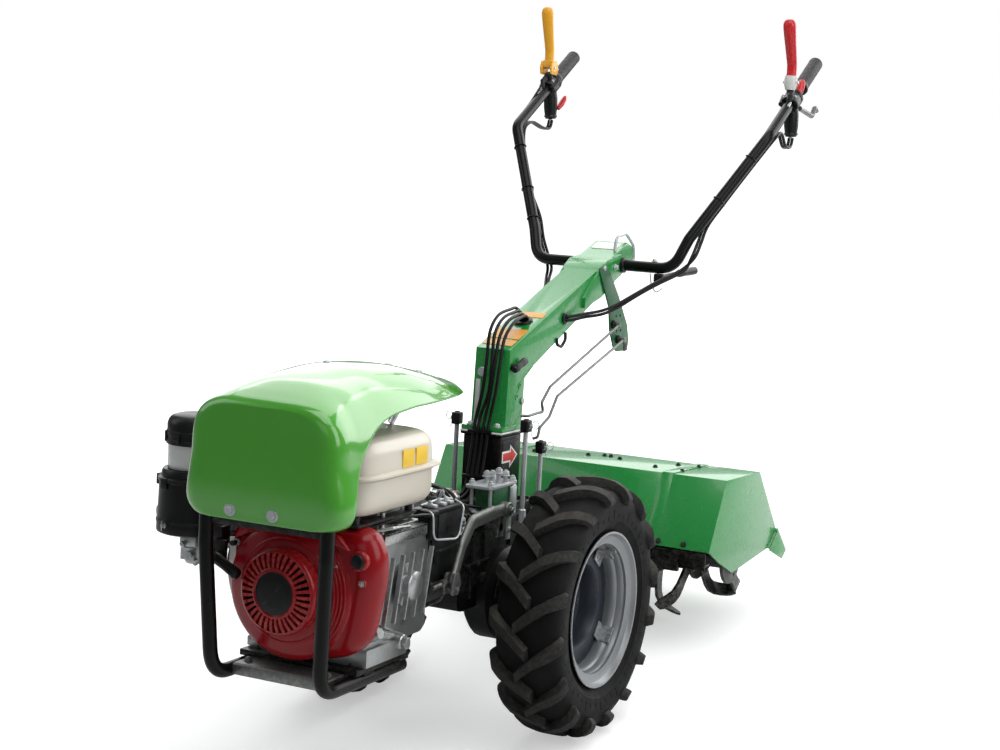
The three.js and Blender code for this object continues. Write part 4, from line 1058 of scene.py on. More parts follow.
# Oil plug and filler neck at the foot of the side.
rod(alloy, (118, -556, 284), (140, -556, 292), 13, 11, n=24)
rod(alloy, (128, -450, 248), (136, -450, 248), 9, n=6)
# Cooling fins round the leaning cylinder and its head.
lean = Matrix.Translation((0, 0, CRANK_Z)) @ Matrix.Rotation(math.radians(25), 4, "Y")
fins = bmesh.new()
for k in range(9):
    x = -72 - 14.5 * k
    grow = 7 if k < 8 else 4
    box(fins, x - 1.6, x + 1.6, -505 - grow + 6, -362 - 2, -66 - grow, 66 + grow, 0.7, 1)
for k in range(6):
    box(fins, -263, -206, -502 + 24 * k, -498.5 + 24 * k, 70, 82, 0.7, 1)
    box(fins, -272, -258, -500 + 24 * k, -496.5 + 24 * k, -60, 60, 0.7, 1)
rod(fins, (-262, -420, 10), (-284, -420, 18), 9, n=6)
fins.transform(lean)
merged(alloy, fins)
rod(alloy, (104, -470, 262), (138, -470, 258), 15, 14, n=32, chamfer=2)
rod(alloy, (138, -470, 258), (146, -470, 257), 11, n=6)
for k in range(10):
    # Bolts round the crankcase cover's flange.
    u, v = side_outline[k * 6]
    bolt(alloy, (127, u + (-466 - u) * 0.05, v + (356 - v) * 0.05), (1, 0, 0), 5, 5)
piece("engine_case", alloy, "alloy", "chassis", "engine_block", sharp=38)

shroud = bmesh.new()
# Tinware over the cylinder, the control bracket and the ignition lead.
slab(shroud, [(-196, 446), (-150, 470), (-66, 470), (-66, 462), (-146, 462), (-190, 440)], "y", -560,
     -380, 1.2)
box(shroud, 96, 132, -540, -392, 456, 460, 1)
box(shroud, 128, 132, -540, -392, 440, 460, 1)
rod(shroud, (112, -520, 460), (112, -520, 496), 5, n=16)
rod(shroud, (112, -420, 460), (112, -420, 496), 5, n=16)
slab(shroud, rounded(88, 136, -500, -430, 6), "z", 470, 474, 1)
sweep(shroud, rounded_path([(126, -560, 470), (150, -540, 476), (146, -480, 470), (120, -440, 470)], 14),
      3, 10)
piece("engine_brackets", shroud, "steel", "chassis")
lead = bmesh.new()
strand(lead, [(-236, -420, 478), (-210, -400, 500), (-150, -390, 492), (-100, -400, 482),
              (-60, -420, 470)], 3.5)
rod(lead, (-240, -420, 470), (-232, -420, 486), 9, 7, n=20)
strand(lead, [(118, -388, 462), (140, -400, 476), (138, -470, 484), (120, -520, 478), (100, -560, 470)],
       2.6)
piece("engine_leads", lead, "cable", "chassis")

# ---------- tank ----------
TANK_REAR = 372  # how far ahead of the axle the tank ends
tank = bmesh.new()


def soft_box(bm, x0, x1, y0, y1, levels, square=5.0, n=96):
    """A box with rounded sides; levels are (height, inset) pairs from bottom to top."""
    rings = []
    for z, inset in levels:
        a, b = (x1 - x0) / 2 - inset, (y1 - y0) / 2 - inset
        ring = []
        for k in range(n):
            t = 2 * math.pi * (k + 0.5) / n
            c, s = math.cos(t), math.sin(t)
            ring.append(((x0 + x1) / 2 + a * math.copysign(abs(c) ** (2 / square), c),
                         (y0 + y1) / 2 + b * math.copysign(abs(s) ** (2 / square), s), z))
        rings.append(ring)
    skin(bm, rings)


def quarter(z0, z1, r, up=True, steps=8):
    """Levels of a rounded edge of radius r that ends at z1."""
    out = []
    for i in range(steps + 1):
        a = math.pi / 2 * i / steps
        out.append((z0 + r * (1 - math.cos(a)) if not up else z1 - r + r * math.sin(a),
                    r * (1 - math.sin(a)) if not up else r * (1 - math.cos(a))))
    return out


soft_box(tank, -128, 142, -640, -TANK_REAR, [(500, 26)] + quarter(500, 0, 24, up=False)[1:] + [(530, -1),
    (566, 0)], 7)
soft_box(tank, -133, 147, -643, 10 - TANK_REAR, [(562, 4), (565.5, 0), (568, -6), (571, -6), (573.5, 0),
                                                 (574, 4)], 7)
soft_box(tank, -129, 142, -640, 1 - TANK_REAR, [(570, 0), (590, 0.5), (600, 1.5)] + [(z, i + 1.5) for z,
    i in quarter(0, 632, 30)], 7)
piece("tank_shell", tank, "cream", "chassis", "fuel_tank", sharp=50)
sticker = bmesh.new()
for y0, y1 in ((-510, -471), (-464, -425)):
    slab(sticker, rounded(y0, y1, 576, 607, 2), "x", 141.6, 143.2, 0.2)
piece("tank_stickers", sticker, "yellow_label", "chassis")
cap = bmesh.new()
lathe(cap, [(26, 631), (30, 633), (30.5, 652), (29, 657), (24, 660.5), (10, 662), (0.1, 662)],
      (10, -540, 0), (0, 0, 1), 64, wrap=False)
for k in range(24):
    a = 2 * math.pi * k / 24
    rod(cap, (10 + 30 * math.cos(a), -540 + 30 * math.sin(a), 635),
        (10 + 30 * math.cos(a), -540 + 30 * math.sin(a), 655), 1.7, n=8)
piece("tank_cap", cap, "plastic", "chassis", "fuel_cap")
legs = bmesh.new()
for x in (-100, 112):
    for y in (-610, -430):
        rod(legs, (x, y, 486), (x, y, 503), 7, n=16)
    box(legs, x - 12, x + 12, -620, -420, 482, 487, 1)
piece("tank_legs", legs, "casting", "chassis")

# ---------- air cleaner, carburettor and muffler ----------
AIR = (-248, -576, 0)
air = bmesh.new()
lathe(air, [(0.1, 421.3), (60, 421.3), (66, 424), (67, 428), (66.4, 440), (67.6, 441), (67.6, 446),
            (66, 447), (64.8, 470), (64, 500), (63.5, 514), (65.6, 516), (65.6, 522), (60, 524),
            (59.6, 532), (57, 537.6), (0.1, 537.9)], AIR, (0, 0, 1), 96, wrap=False)
for a in (200, 250, 300, 340, 20, 110):
    t = math.radians(a)
    d = Vector((math.cos(t), math.sin(t), 0))
    p = Vector(AIR) + Vector((0, 0, 0)) + d * 62
    box(air, p.x - 7, p.x + 7, p.y - 7, p.y + 7, 504, 524, 2)
piece("air_cleaner_bowl", air, "plastic", "chassis", "air_cleaner")
band = bmesh.new()
lathe(band, [(0.1, 538.4), (49, 538.4), (50, 540), (49.6, 562), (50, 584), (0.1, 584)], AIR, (0, 0, 1),
      72, wrap=False)
piece("cleaner_band", band, "band", "chassis", "precleaner")
lid = bmesh.new()
lathe(lid, [(51, 582), (53.4, 583), (53.4, 590), (52.4, 591), (52.4, 598), (53.4, 599), (53.4, 606),
            (52.2, 607), (52.2, 618), (50, 626), (44, 632.4), (34, 635.6), (0.1, 636.8)], AIR, (0, 0, 1),
            72, wrap=False)
for k in range(8):
    a = 2 * math.pi * k / 8
    box(lid, AIR[0] + 53 * math.cos(a) - 3, AIR[0] + 53 * math.cos(a) + 3, AIR[1] + 53 * math.sin(a) - 3,
        AIR[1] + 53 * math.sin(a) + 3, 586, 606, 1)
piece("cleaner_lid", lid, "plastic", "chassis")
wings = bmesh.new()
for a, z in ((188, 452), (258, 440)):
    t = math.radians(a)
    d = Vector((math.cos(t), math.sin(t), 0))
    p = Vector(AIR) + d * 65.5 + Vector((0, 0, z))
    rod(wings, p, p + d * 7, 5.5, n=20)
    bolt(wings, p + d * 5, d, 4, 4)
    sweep(wings, [p + d * 8 + Vector((0, 0, h)) for h in (-9, -4, 4, 9)], [3, 4, 4, 3], 10, flat=0.5)
piece("cleaner_bolts", wings, "steel", "chassis")

carb = from_node("carburettor", 1.5)
box(carb, -258, -222, -604, -548, 398, 420, 3)
rod(carb, (-232, -600, 386), (-232, -612, 386), 7, n=20)
rod(carb, (-246, -602, 404), (-246, -614, 404), 5, n=6)
lathe(carb, [(0.1, 366), (17, 366), (19, 369), (19, 384), (16, 386)], (-240, -578, 0), (0, 0, 1), 40,
      wrap=False)
bolt(carb, (-240, -578, 366), (0, 0, -1), 4.5, 4)
piece("carburettor_body", carb, "alloy", "chassis", "carburettor")
choke = bmesh.new()
sweep(choke, rounded_path([(-198, -604, 396), (-176, -618, 400), (-158, -626, 412), (-150, -628, 430)],
                          12), 4, 12, flat=0.5)
rod(choke, (-160, -622, 410), (-160, -640, 410), 8, n=24)
box(choke, -196, -150, -612, -606, 380, 424, 2)
box(choke, -172, -146, -632, -606, 424, 452, 3)
piece("choke_lever", choke, "plastic", "chassis")

exhaust = from_node("muffler", 3, 3)
for k in range(7):
    x = -260 + 15 * k
    for y, dy in ((-344, -3), (-261, 3)):
        slab(exhaust, rounded(x, x + 8, 452, 518, 3.5), "y", min(y, y + dy), max(y, y + dy), 1.2)
for x, z in ((-262, 434), (-153, 434), (-262, 531), (-153, 531)):
    bolt(exhaust, (x, -262, z), (0, 1, 0), 4.5, 4)
lathe(exhaust, [(11, -229), (14.6, -229), (15.4, -233), (14.6, -240), (11, -240)], (-205, 0, 500),
      (0, 1, 0), 40)
piece("muffler_shield", exhaust, "steel", "chassis", "muffler")

# ---------- gearbox, bell housing and their controls ----------
gear = from_node("gearbox", 5, 4, 26)
for s in (1, -1):
    # Flange and ribs of the wheel axle's tubes.
    lathe(gear, [(46, s * 100), (66, s * 102), (66, s * 110), (52, s * 114), (46, s * 120)],
          (0, 0, TYRE_R), (1, 0, 0), 48)
    for k in range(6):
        a = 2 * math.pi * k / 6 + 0.3
        bolt(gear, (s * 110, 58 * math.sin(a), TYRE_R + 58 * math.cos(a)), (s, 0, 0), 5, 5)
    for y in (-120, -70, 40, 90):
        slab(gear, [(y, 262), (y + 6, 262), (y + 6, 388), (y, 388)], "x", s * 76, s * 83, 2)
    slab(gear, rounded(-150, 112, 322, 334, 4), "x", s * 77, s * 84, 2)
    for y in (-138, -96, 20, 66, 106):
        bolt(gear, (s * 83, y, 328), (s, 0, 0), 4.6, 4)
for x in (-44, 0, 44):
    for y in (20, 188):
        bolt(gear, (x, y, 413.6), (0, 0, 1), 5, 4)
rod(gear, (84, -80, 300), (92, -80, 300), 10, n=6)
rod(gear, (60, -60, 243), (60, -60, 234), 9, n=6)
lathe(gear, [(60, 190), (66, 192), (66, 205.6), (60, 205.6)], (0, 0, 330), (0, 1, 0), 64)
piece("gearbox_case", gear, "casting", "chassis", "gearbox")

bell = bmesh.new()
lathe(bell, [(0.1, -361.6), (121, -361.6), (122, -360), (122, -348), (118, -343), (115, -338),
             (113.5, -300), (112, -236), (106, -222), (92, -190), (85, -170), (84, -165.2),
             (0.1, -165.2)], (0, 0, CRANK_Z), (0, 1, 0), 96, wrap=False)
for k in range(12):
    a = 2 * math.pi * (k + 0.5) / 12
    c, s = math.cos(a), math.sin(a)
    if s > 0.6:
        continue
    part = bmesh.new()
    skin(part, [[(r, w, y) for r, y in ((84, -168), (108, -226), (111, -338), (119, -343), (116, -238),
                                        (92, -172))] for w in (-2.5, 2.5)])
    part.transform(Matrix(((c, -s, 0, 0), (0, 0, 1, 0), (s, c, 0, CRANK_Z), (0, 0, 0, 1))))
    merged(bell, part)
    rod(bell, (117 * c, -347, CRANK_Z + 117 * s), (117 * c, -338, CRANK_Z + 117 * s), 7, n=16)
    bolt(bell, (117 * c, -338, CRANK_Z + 117 * s), (0, 1, 0), 4.8, 4)
piece("bell_case", bell, "bell", "chassis", "bell_housing")

column = bmesh.new()
box(column, -43, 43, 54, 148, 414.5, 557, 5, 4)
box(column, -47, 47, 48, 152, 556, 566, 2.5, 3)
for s in (1, -1):
    slab(column, rounded(62, 140, 430, 546, 6), "x", s * 42, s * 44.2, 1)
    for y, z in ((64, 424), (138, 424)):
        bolt(column, (s * 43, y, z), (s, 0, 0), 5, 4)
box(column, -60, 60, 48, 152, 414.4, 421, 2)
for x in (-52, 52):
    for y in (60, 140):
        bolt(column, (x, y, 421), (0, 0, 1), 5, 5)
piece("column_post", column, "black", "chassis", "lower_column")
gasket = bmesh.new()
box(gasket, -47.8, 47.8, 47.2, 152.8, 562, 565.6, 0.8)
piece("column_washer", gasket, "label", "chassis")
arrow = bmesh.new()
slab(arrow, [(66, 506), (100, 506), (100, 497), (124, 514), (100, 531), (100, 522), (66, 522)], "x", 44,
     44.9, 0.15)
piece("column_arrow", arrow, "arrow", "chassis")
backing = bmesh.new()
slab(backing, [(62, 502), (96, 502), (96, 490), (130, 514), (96, 538), (96, 526), (62, 526)], "x", 43.8,
     44.5, 0.15)
piece("column_arrow_back", backing, "label", "chassis")


def ring_clip(bm, x, y, z, s):
    """A spring clip's round wire end and its two legs through a lever's knob, on the side s."""
    loop = [(x + s * (14 + 7 * math.cos(t)), y + 3, z + 3 + 8.5 * math.sin(t))
            for t in np.linspace(-2.4, 2.6, 16)]
    sweep(bm, [(x + s * 2, y - 4, z - 4)] + loop + [(x + s * 6, y, z - 14), (x + s * 10, y - 2, z - 22)],
          0.9, 8)


for node, x, y, low, knob in (("gear_lever_range", 80, 92, 404, 581),
                              ("gear_lever_speed", 70, 186, 404, 526), ("pto_lever", -80, 94, 404, 580)):
    shaft = bmesh.new()
    rod(shaft, (x, y, low - 20), (x, y, knob - 8), 5, n=20)
    rod(shaft, (x, y, low - 24), (x, y, low + 6), 10, 8, n=24, chamfer=2)
    rod(shaft, (x, y, knob + 9), (x, y, knob + 13), 3.5, n=16)
    outer = 1 if x > 0 else -1
    ring_clip(shaft, x + outer * 6, y, knob, outer)
    rod(shaft, (x + outer * 7, y, knob), (x + outer * 15, y, knob), 3, n=12)
    box(shaft, min(x, x - outer * 13), max(x, x - outer * 13), y - 9, y + 9, 382, 398, 2)
    piece(f"{node}_shaft", shaft, "zinc", "chassis", node)
    cap_knob = bmesh.new()
    box(cap_knob, x - 9, x + 9, y - 11, y + 11, knob - 13, knob + 12, 3.5, 4)
    rod(cap_knob, (x, y, knob + 10), (x, y, knob + 14), 5.5, n=20, chamfer=1.5)
    piece(f"{node}_knob", cap_knob, "plastic", "chassis")
boot = bmesh.new()
lathe(boot, [(5, 404), (12, 406), (14, 412), (10, 414), (13, 418), (9, 421), (11, 425), (6, 429)],
      (-80, 94, 0), (0, 0, 1), 32)
piece("lever_boot", boot, "arrow", "chassis")

clutch = bmesh.new()
spine = rounded_path([(112, -46, 434), (119, -112, 437), (124, -206, 432), (130, -252, 396),
                      (132, -288, 330)], 30, 12)
sweep(clutch, spine, [12 + 2.5 * math.sin(math.pi * i / (len(spine) - 1)) for i in range(len(spine))], 20,
      flat=0.55, side=(0, 0, 1))
rod(clutch, (104, -48, 434), (124, -48, 434), 15, n=32, chamfer=2)
bolt(clutch, (124, -48, 434), (1, 0, 0), 6, 5)
rod(clutch, (78.4, -60, 400), (112, -60, 400), 9, n=24)
slab(clutch, [(-72, 380), (-48, 380), (-40, 430), (-48, 446), (-62, 440)], "x", 104, 112, 2)
for x0, x1 in ((120, 126), (137, 143)):
    slab(clutch, [(-304, 312), (-282, 310), (-272, 330), (-280, 350), (-296, 352), (-306, 334)], "x", x0,
         x1, 1.5)
rod(clutch, (116, -290, 322), (148, -290, 322), 4.5, n=20)
rod(clutch, (124, -296, 334), (122, -344, 330), 4, n=16)
rod(clutch, (124, -300, 334), (124, -314, 333), 7, n=6)
piece("clutch_arm", clutch, "forged", "chassis", "clutch_lever")

block = bmesh.new()
box(block, 56, 98, -70, 0, 428, 474, 3, 3)
piece("selector_body", block, "deep_green", "chassis")
valve = bmesh.new()
slab(valve, rounded(44, 102, -92, 24, 6), "z", 474, 481, 1.2)
slab(valve, rounded(48, 102, -84, 14, 5), "z", 420, 427, 1.2)
for x, y in ((54, -80), (54, 8), (96, -82), (96, 12)):
    rod(valve, (x, y, 416), (x, y, 492), 3.6, n=16)
    bolt(valve, (x, y, 481), (0, 0, 1), 6, 6)
    bolt(valve, (x, y, 420), (0, 0, -1), 6, 5)
for x, y, z in ((70, -50, 506), (88, -34, 512), (92, -12, 505), (66, -18, 502)):
    rod(valve, (x, y, 480), (x, y, z), 5, 4, n=20)
    bolt(valve, (x, y, z - 12), (0, 0, 1), 7, 8)
slab(valve, [(-6, 414.6), (20, 414.6), (20, 470), (12, 476), (-6, 470)], "x", 99, 103, 1)
slab(valve, [(10, 360), (26, 360), (30, 460), (22, 472), (8, 466)], "x", 84, 90, 1.5)
for z in (380, 412, 446):
    bolt(valve, (90, 18, z), (1, 0, 0), 5, 4)
slab(valve, rounded(50, 100, -78, 6, 4), "z", 414.6, 419.6, 1)
piece("selector_plates", valve, "zinc", "chassis", "selector_block")

cap = bmesh.new()
lathe(cap, [(0.1, 474), (20, 473.6), (25, 471.5), (29.4, 466), (30, 462), (28.6, 459), (27.4, 456),
            (27, 447), (0.1, 447)], (35, -158, 0), (0, 0, 1), 64, wrap=False)
for k in range(20):
    a = 2 * math.pi * k / 20
    rod(cap, (35 + 29 * math.cos(a), -158 + 29 * math.sin(a), 460),
        (35 + 29 * math.cos(a), -158 + 29 * math.sin(a), 467), 1.8, n=8)
slab(cap, rounded(29, 41, -180, -136, 4), "z", 472, 478, 1.5)
neck = from_node("inspection_cap", 1, 2)
merged(cap, neck)
piece("filler_cap", cap, "steel", "chassis", "inspection_cap")

battery = bmesh.new()
box(battery, 84, 130, -372, -264, 424, 476, 5, 4)
box(battery, 82, 132, -374, -262, 466, 478, 3, 3)
merged(battery, from_node("linkage_box", 2, 2))
piece("control_box", battery, "plastic", "chassis", "linkage_box")
bail = bmesh.new()
tube(bail, [(106, -378, 480), (133.5, -376, 478), (134.5, -372, 426), (134.5, -276, 414),
            (133.5, -258, 474), (112, -256, 482)], 2, 22, 10)
tube(bail, [(96, -356, 482), (100, -300, 486), (106, -262, 484)], 2.2, 12, 10)
for y in (-340, -306, -280):
    box(bail, 92, 120, y - 7, y + 7, 478, 484, 1.5)
    bolt(bail, (106, y, 484), (0, 0, 1), 4, 4)
piece("control_box_bail", bail, "zinc", "chassis")
clutter = bmesh.new()
for route in (
    [(108, -262, 466), (118, -236, 470), (112, -200, 452), (104, -160, 436), (98, -110, 430),
     (84, -86, 436)],
    [(100, -300, 480), (86, -262, 492), (62, -226, 482), (56, -196, 470), (70, -150, 452),
     (84, -96, 440)],
    [(84, -330, 474), (66, -290, 486), (40, -240, 486), (8, -214, 470), (-20, -190, 456)],
    [(120, -352, 424), (118, -340, 396), (112, -322, 372), (108, -300, 352), (112, -286, 336)],
):
    strand(clutter, route, 3.2)
for x, y, z in ((96, -128, 424), (60, -122, 420), (84, -108, 410)):
    rod(clutter, (x - 12, y, z), (x + 12, y, z), 9, n=24, chamfer=2)
piece("gearbox_hoses", clutter, "cable", "chassis")
joints_metal = bmesh.new()
for p, q in (((100, -106, 430), (108, -128, 434)), ((60, -222, 482), (74, -238, 488)),
             ((110, -262, 467), (114, -248, 470))):
    rod(joints_metal, p, q, 5.5, n=20)
    rod(joints_metal, p, Vector(p).lerp(Vector(q), 0.4), 8, n=6)
for x, y, z in ((66, -140, 416), (84, -150, 404), (96, -176, 396)):
    bolt(joints_metal, (x, y, z), (0.5, -0.3, 0.8), 7, 8)
slab(joints_metal, [(-176, 398), (-150, 392), (-96, 412), (-90, 422), (-120, 424)], "x", 80, 85, 1.2)
piece("gearbox_fittings", joints_metal, "zinc", "chassis")

# ---------- turning column and arm ----------
arm = from_node("steering_arm", 3, 4, 22)
for s in (1, -1):
    # Triangular gussets beside the clamp and the two holes' rims in the column's side.
    slab(arm, [(417, 803), (482, 880), (487, 846), (470, 812)], "x", s * 38.5, s * 45, 1.5)
    for y, z in ((123, 633), (134, 655)):
        lathe(arm, [(3.5, 38), (6.5, 38), (6.5, 40.2), (3.5, 40.2)], (0, y, z), (s, 0, 0), 24)
piece("arm_box", arm, "green", "turning_arm", "steering_arm")
details = bmesh.new()
rod(details, (-17, 77, 683), (-17, 71, 683.5), 9.5, n=32, chamfer=1.5)
rod(details, (39.5, 148, 622), (42.5, 148, 622), 7, n=32)
bolt(details, (46, 500, 884), (1, 0, 0), 6, 5)
bolt(details, (46, 566, 884), (1, 0, 0), 6, 5)
for x in (-30, 30):
    bolt(details, (x, 60, 575.6), (0, 0, 1), 6, 5)
    bolt(details, (x, 144, 575.6), (0, 0, 1), 6, 5)
tube(details, [(30, 592, 905), (30, 600, 950), (30, 652, 957), (30, 697, 930), (30, 706, 892),
               (30, 668, 880)], 3.6, 22, 14)
piece("arm_fittings", details, "zinc", "turning_arm")
strip = bmesh.new()
slab(strip, [(-31, 575), (-22, 575), (-20, 668), (-29, 668)], "y", 71.5, 74.8, 0.8)
piece("column_strip", strip, "band", "turning_arm")
white = bmesh.new()
top_slope = math.atan2(937 - 731, 641 - 85)


def on_arm(t, x, up=0.0):
    """A point on the arm's upper face: t along its edge from the column, x across, up above the face."""
    y, z = 85 + (641 - 85) * t, 731 + (937 - 731) * t
    return (x, y - up * math.sin(top_slope), z + up * math.cos(top_slope))


def arm_plate(bm, t0, t1, x0, x1, up=0.9):
    corners = [(t0, x0), (t1, x0), (t1, x1), (t0, x1)]
    skin(bm, [[on_arm(t, x, h) for t, x in corners] for h in (0.05, up)])


arm_plate(white, 0.925, 0.985, -30, 30)
piece("arm_label", white, "label", "turning_arm")
orange = bmesh.new()
for t0, t1 in ((0.03, 0.075), (0.085, 0.165), (0.27, 0.31)):
    arm_plate(orange, t0, t1, -33, 33)
piece("arm_sticker", orange, "orange_label", "turning_arm")
grommet = bmesh.new()
axis = Vector((0, -21, 56)).normalized()
origin = Vector(on_arm(0.232, 0, -4))
lathe(grommet, [(12, -6), (14.6, -6), (14.8, 3), (20, 4), (20.5, 6.5), (18, 9), (13, 9.5), (11.5, 6)],
      origin, axis, 40)
for s in (1, -1):
    lathe(grommet, [(6, 36), (9.4, 36), (9.4, 39.5), (12.5, 40), (12.5, 42.5), (10, 44), (6, 43)],
          (0, 330, 782), (s, 0, 0), 32)
    lathe(grommet, [(BAR_R + 0.2, 38.5), (17, 38.5), (18, 44), (17, 52), (BAR_R + 0.4, 54)],
          (0, BAR_Y, BAR_Z), (s, 0, 0), 48)
tube(grommet, [(40, 296, 742), (40, 300, 728), (40, 322, 722), (40, 340, 736), (40, 338, 752)], 3.5, 9,
     12)
piece("arm_grommets", grommet, "plastic", "turning_arm")

lever = bmesh.new()
slab(lever, [(474, 884), (496, 894), (520, 886), (588, 818), (643, 752), (656, 716), (652, 700),
             (638, 693), (592, 694), (574, 704), (548, 746), (538, 796)], "x", 46.5, 50, 0.7)
ob = piece("rod_plate", lever, "deep_green", None, sharp=30)
drills = bmesh.new()
for y, z, r in ((578, 775, 3.6), (600, 775, 3.6), (585, 741, 3.6), (606, 741, 3.6), (604, 712, 4),
                (628, 712, 4)):
    rod(drills, (40, y, z), (60, y, z), r, n=20, chamfer=0.1)
drills.transform(LEVEL)
tool_mesh = bpy.data.meshes.new("drills")
drills.to_mesh(tool_mesh)
drills.free()
tool = bpy.data.objects.new("drills", tool_mesh)
bpy.context.scene.collection.objects.link(tool)
cutter = ob.modifiers.new("drill", "BOOLEAN")
cutter.object = tool
cutter.operation = "DIFFERENCE"
cutter.solver = "EXACT"
applied(ob)
bpy.data.objects.remove(tool)
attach(ob, "turning_arm")
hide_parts("lever_plate")
pads = bmesh.new()
for y, z in ((560, 757), (590, 722)):
    rod(pads, (50, y, z), (58, y, z), 10, n=32, chamfer=2)
    rod(pads, (44, y, z), (46.3, y, z), 8, n=32)
slab(pads, rounded(628, 650, 692, 712, 6), "x", 45.5, 51, 1.5)
piece("rod_bushes", pads, "plastic", "turning_arm")

lock = bmesh.new()
rod(lock, (39.3, 96, 696), (56, 96, 696), 8, n=24)
sweep(lock, [(50, 86, 691.2), (50, 92, 693.3), (50, 104, 697.5), (50, 120, 703), (50, 130, 706.5),
             (50, 134, 708)], [6, 7.6, 6.8, 7.8, 8, 5.5], 24)
piece("column_lock", lock, "plastic", "turning_arm", "column_lock_lever")
rods = bmesh.new()
tube(rods, [(66, 92, 600), (80, 98, 600), (79, 148, 602), (75, 178, 600), (75, 168, 620), (74, 206, 650),
            (66, 560, 757), (54, 562, 757)], 3, 8, 14)
tube(rods, [(62, 161, 545), (72, 164, 548), (72, 172, 568), (72, 214, 586), (70, 252, 626),
            (66, 590, 722), (54, 592, 722)], 3, 8, 14)
for y, z in ((560, 757), (590, 722)):
    rod(rods, (60, y, z), (70, y, z), 5.5, n=20)
piece("link_rods", rods, "forged", "turning_arm", "link_rod_range", "link_rod_speed")

# ---------- handlebar ----------
GRIP_DIR = Vector((0, GRIP_END[0] - GRIP_BEND[0], GRIP_END[1] - GRIP_BEND[1])).normalized()
GRIP_UP = Vector((0, -GRIP_DIR.z, GRIP_DIR.y))


def on_grip(s, d, up=0.0, out=0.0):
    """A point d along the grip tube from its end, up square to it and out to the side."""
    return Vector((s * (GRIP_X + out), *GRIP_END)) + GRIP_DIR * d + GRIP_UP * up


def bar_path(s):
    return [(s * 168, BAR_Y, BAR_Z), (s * 191, 632, 955), (s * GRIP_X, *GRIP_BEND),
            (s * GRIP_X, *GRIP_END)]


bar = bmesh.new()
tube(bar, bar_path(-1)[::-1] + bar_path(1), BAR_R, 46, 28)
piece("handlebar_tube", bar, "black", "handlebars", "handlebar")
for side, s in (("left", 1), ("right", -1)):
    grip = bmesh.new()
    profile = [(13.2, -118), (18.5, -118), (19, -114), (16.4, -110)]
    for k in range(16):
        d = -106 + 6.4 * k
        profile += [(16.3, d), (16.3, d + 3.6), (15.5, d + 4.2), (15.5, d + 5.6)]
    profile += [(16.6, -2), (16.2, 3), (13, 5.6), (5, 6), (0.1, 6)]
    lathe(grip, [(13.2, -117)] + profile[1:], on_grip(s, 0), GRIP_DIR, 48, wrap=False)
    piece(f"grip_{side}_sleeve", grip, "grip", "handlebars", f"grip_{side}")


def perch(s, d):
    """A lever perch clamped round the bar with the switch housing under it."""
    bm = bmesh.new()
    lathe(bm, [(13.4, -22), (20, -22), (21.5, -20), (21.5, 4), (20.5, 6), (21.5, 8), (21.5, 18), (20, 20),
               (13.4, 20)], on_grip(s, d), GRIP_DIR, 48)
    path = [on_grip(s, d - 6, -10), on_grip(s, d - 14, -30), on_grip(s, d - 24, -52),
            on_grip(s, d - 34, -74)]
    sweep(bm, path, [15, 17, 16.4, 13], 28)
    lathe(bm, [(9, 0), (15, 0), (16.5, 3), (15, 6), (9, 7)], on_grip(s, d - 30, -66),
          on_grip(s, d - 34, -74) - on_grip(s, d - 30, -66), 32)
    rod(bm, on_grip(s, d, 12), on_grip(s, d, 33.6), 10.5, 8.5, n=32, chamfer=2)
    rod(bm, on_grip(s, d - 28, 4, -16), on_grip(s, d + 4, 8, -18), 7, n=24, chamfer=2)
    sweep(bm, [on_grip(s, d - 34, 8, 4), on_grip(s, d - 20, 22, 6), on_grip(s, d - 2, 26, 4)], [5, 8, 6],
          16)
    return bm


def blade(s, d, lean, rise):
    """A moulded lever that stands on its perch and swells to a rounded top."""
    bm = bmesh.new()
    foot = on_grip(s, d, 34.3)
    path, wide = [], []
    for t, shift, r in ((0.14, 2, 12), (0.22, 3.5, 11.5), (0.34, 3, 11.6), (0.48, 2 + lean * 0.25, 12.4),
                        (0.62, 1 + lean * 0.5, 13.2), (0.76, lean * 0.75, 14.2), (0.88, lean * 0.95, 15),
                        (0.92, lean, 14.8), (0.955, lean, 13), (0.978, lean, 10), (0.99, lean, 6),
                        (0.995, lean, 2)):
        path.append((foot.x, foot.y + shift, foot.z + rise * t))
        wide.append(r)
    sweep(bm, path, wide, 28, flat=0.8, side=(1, 0, 0))
    return bm, foot


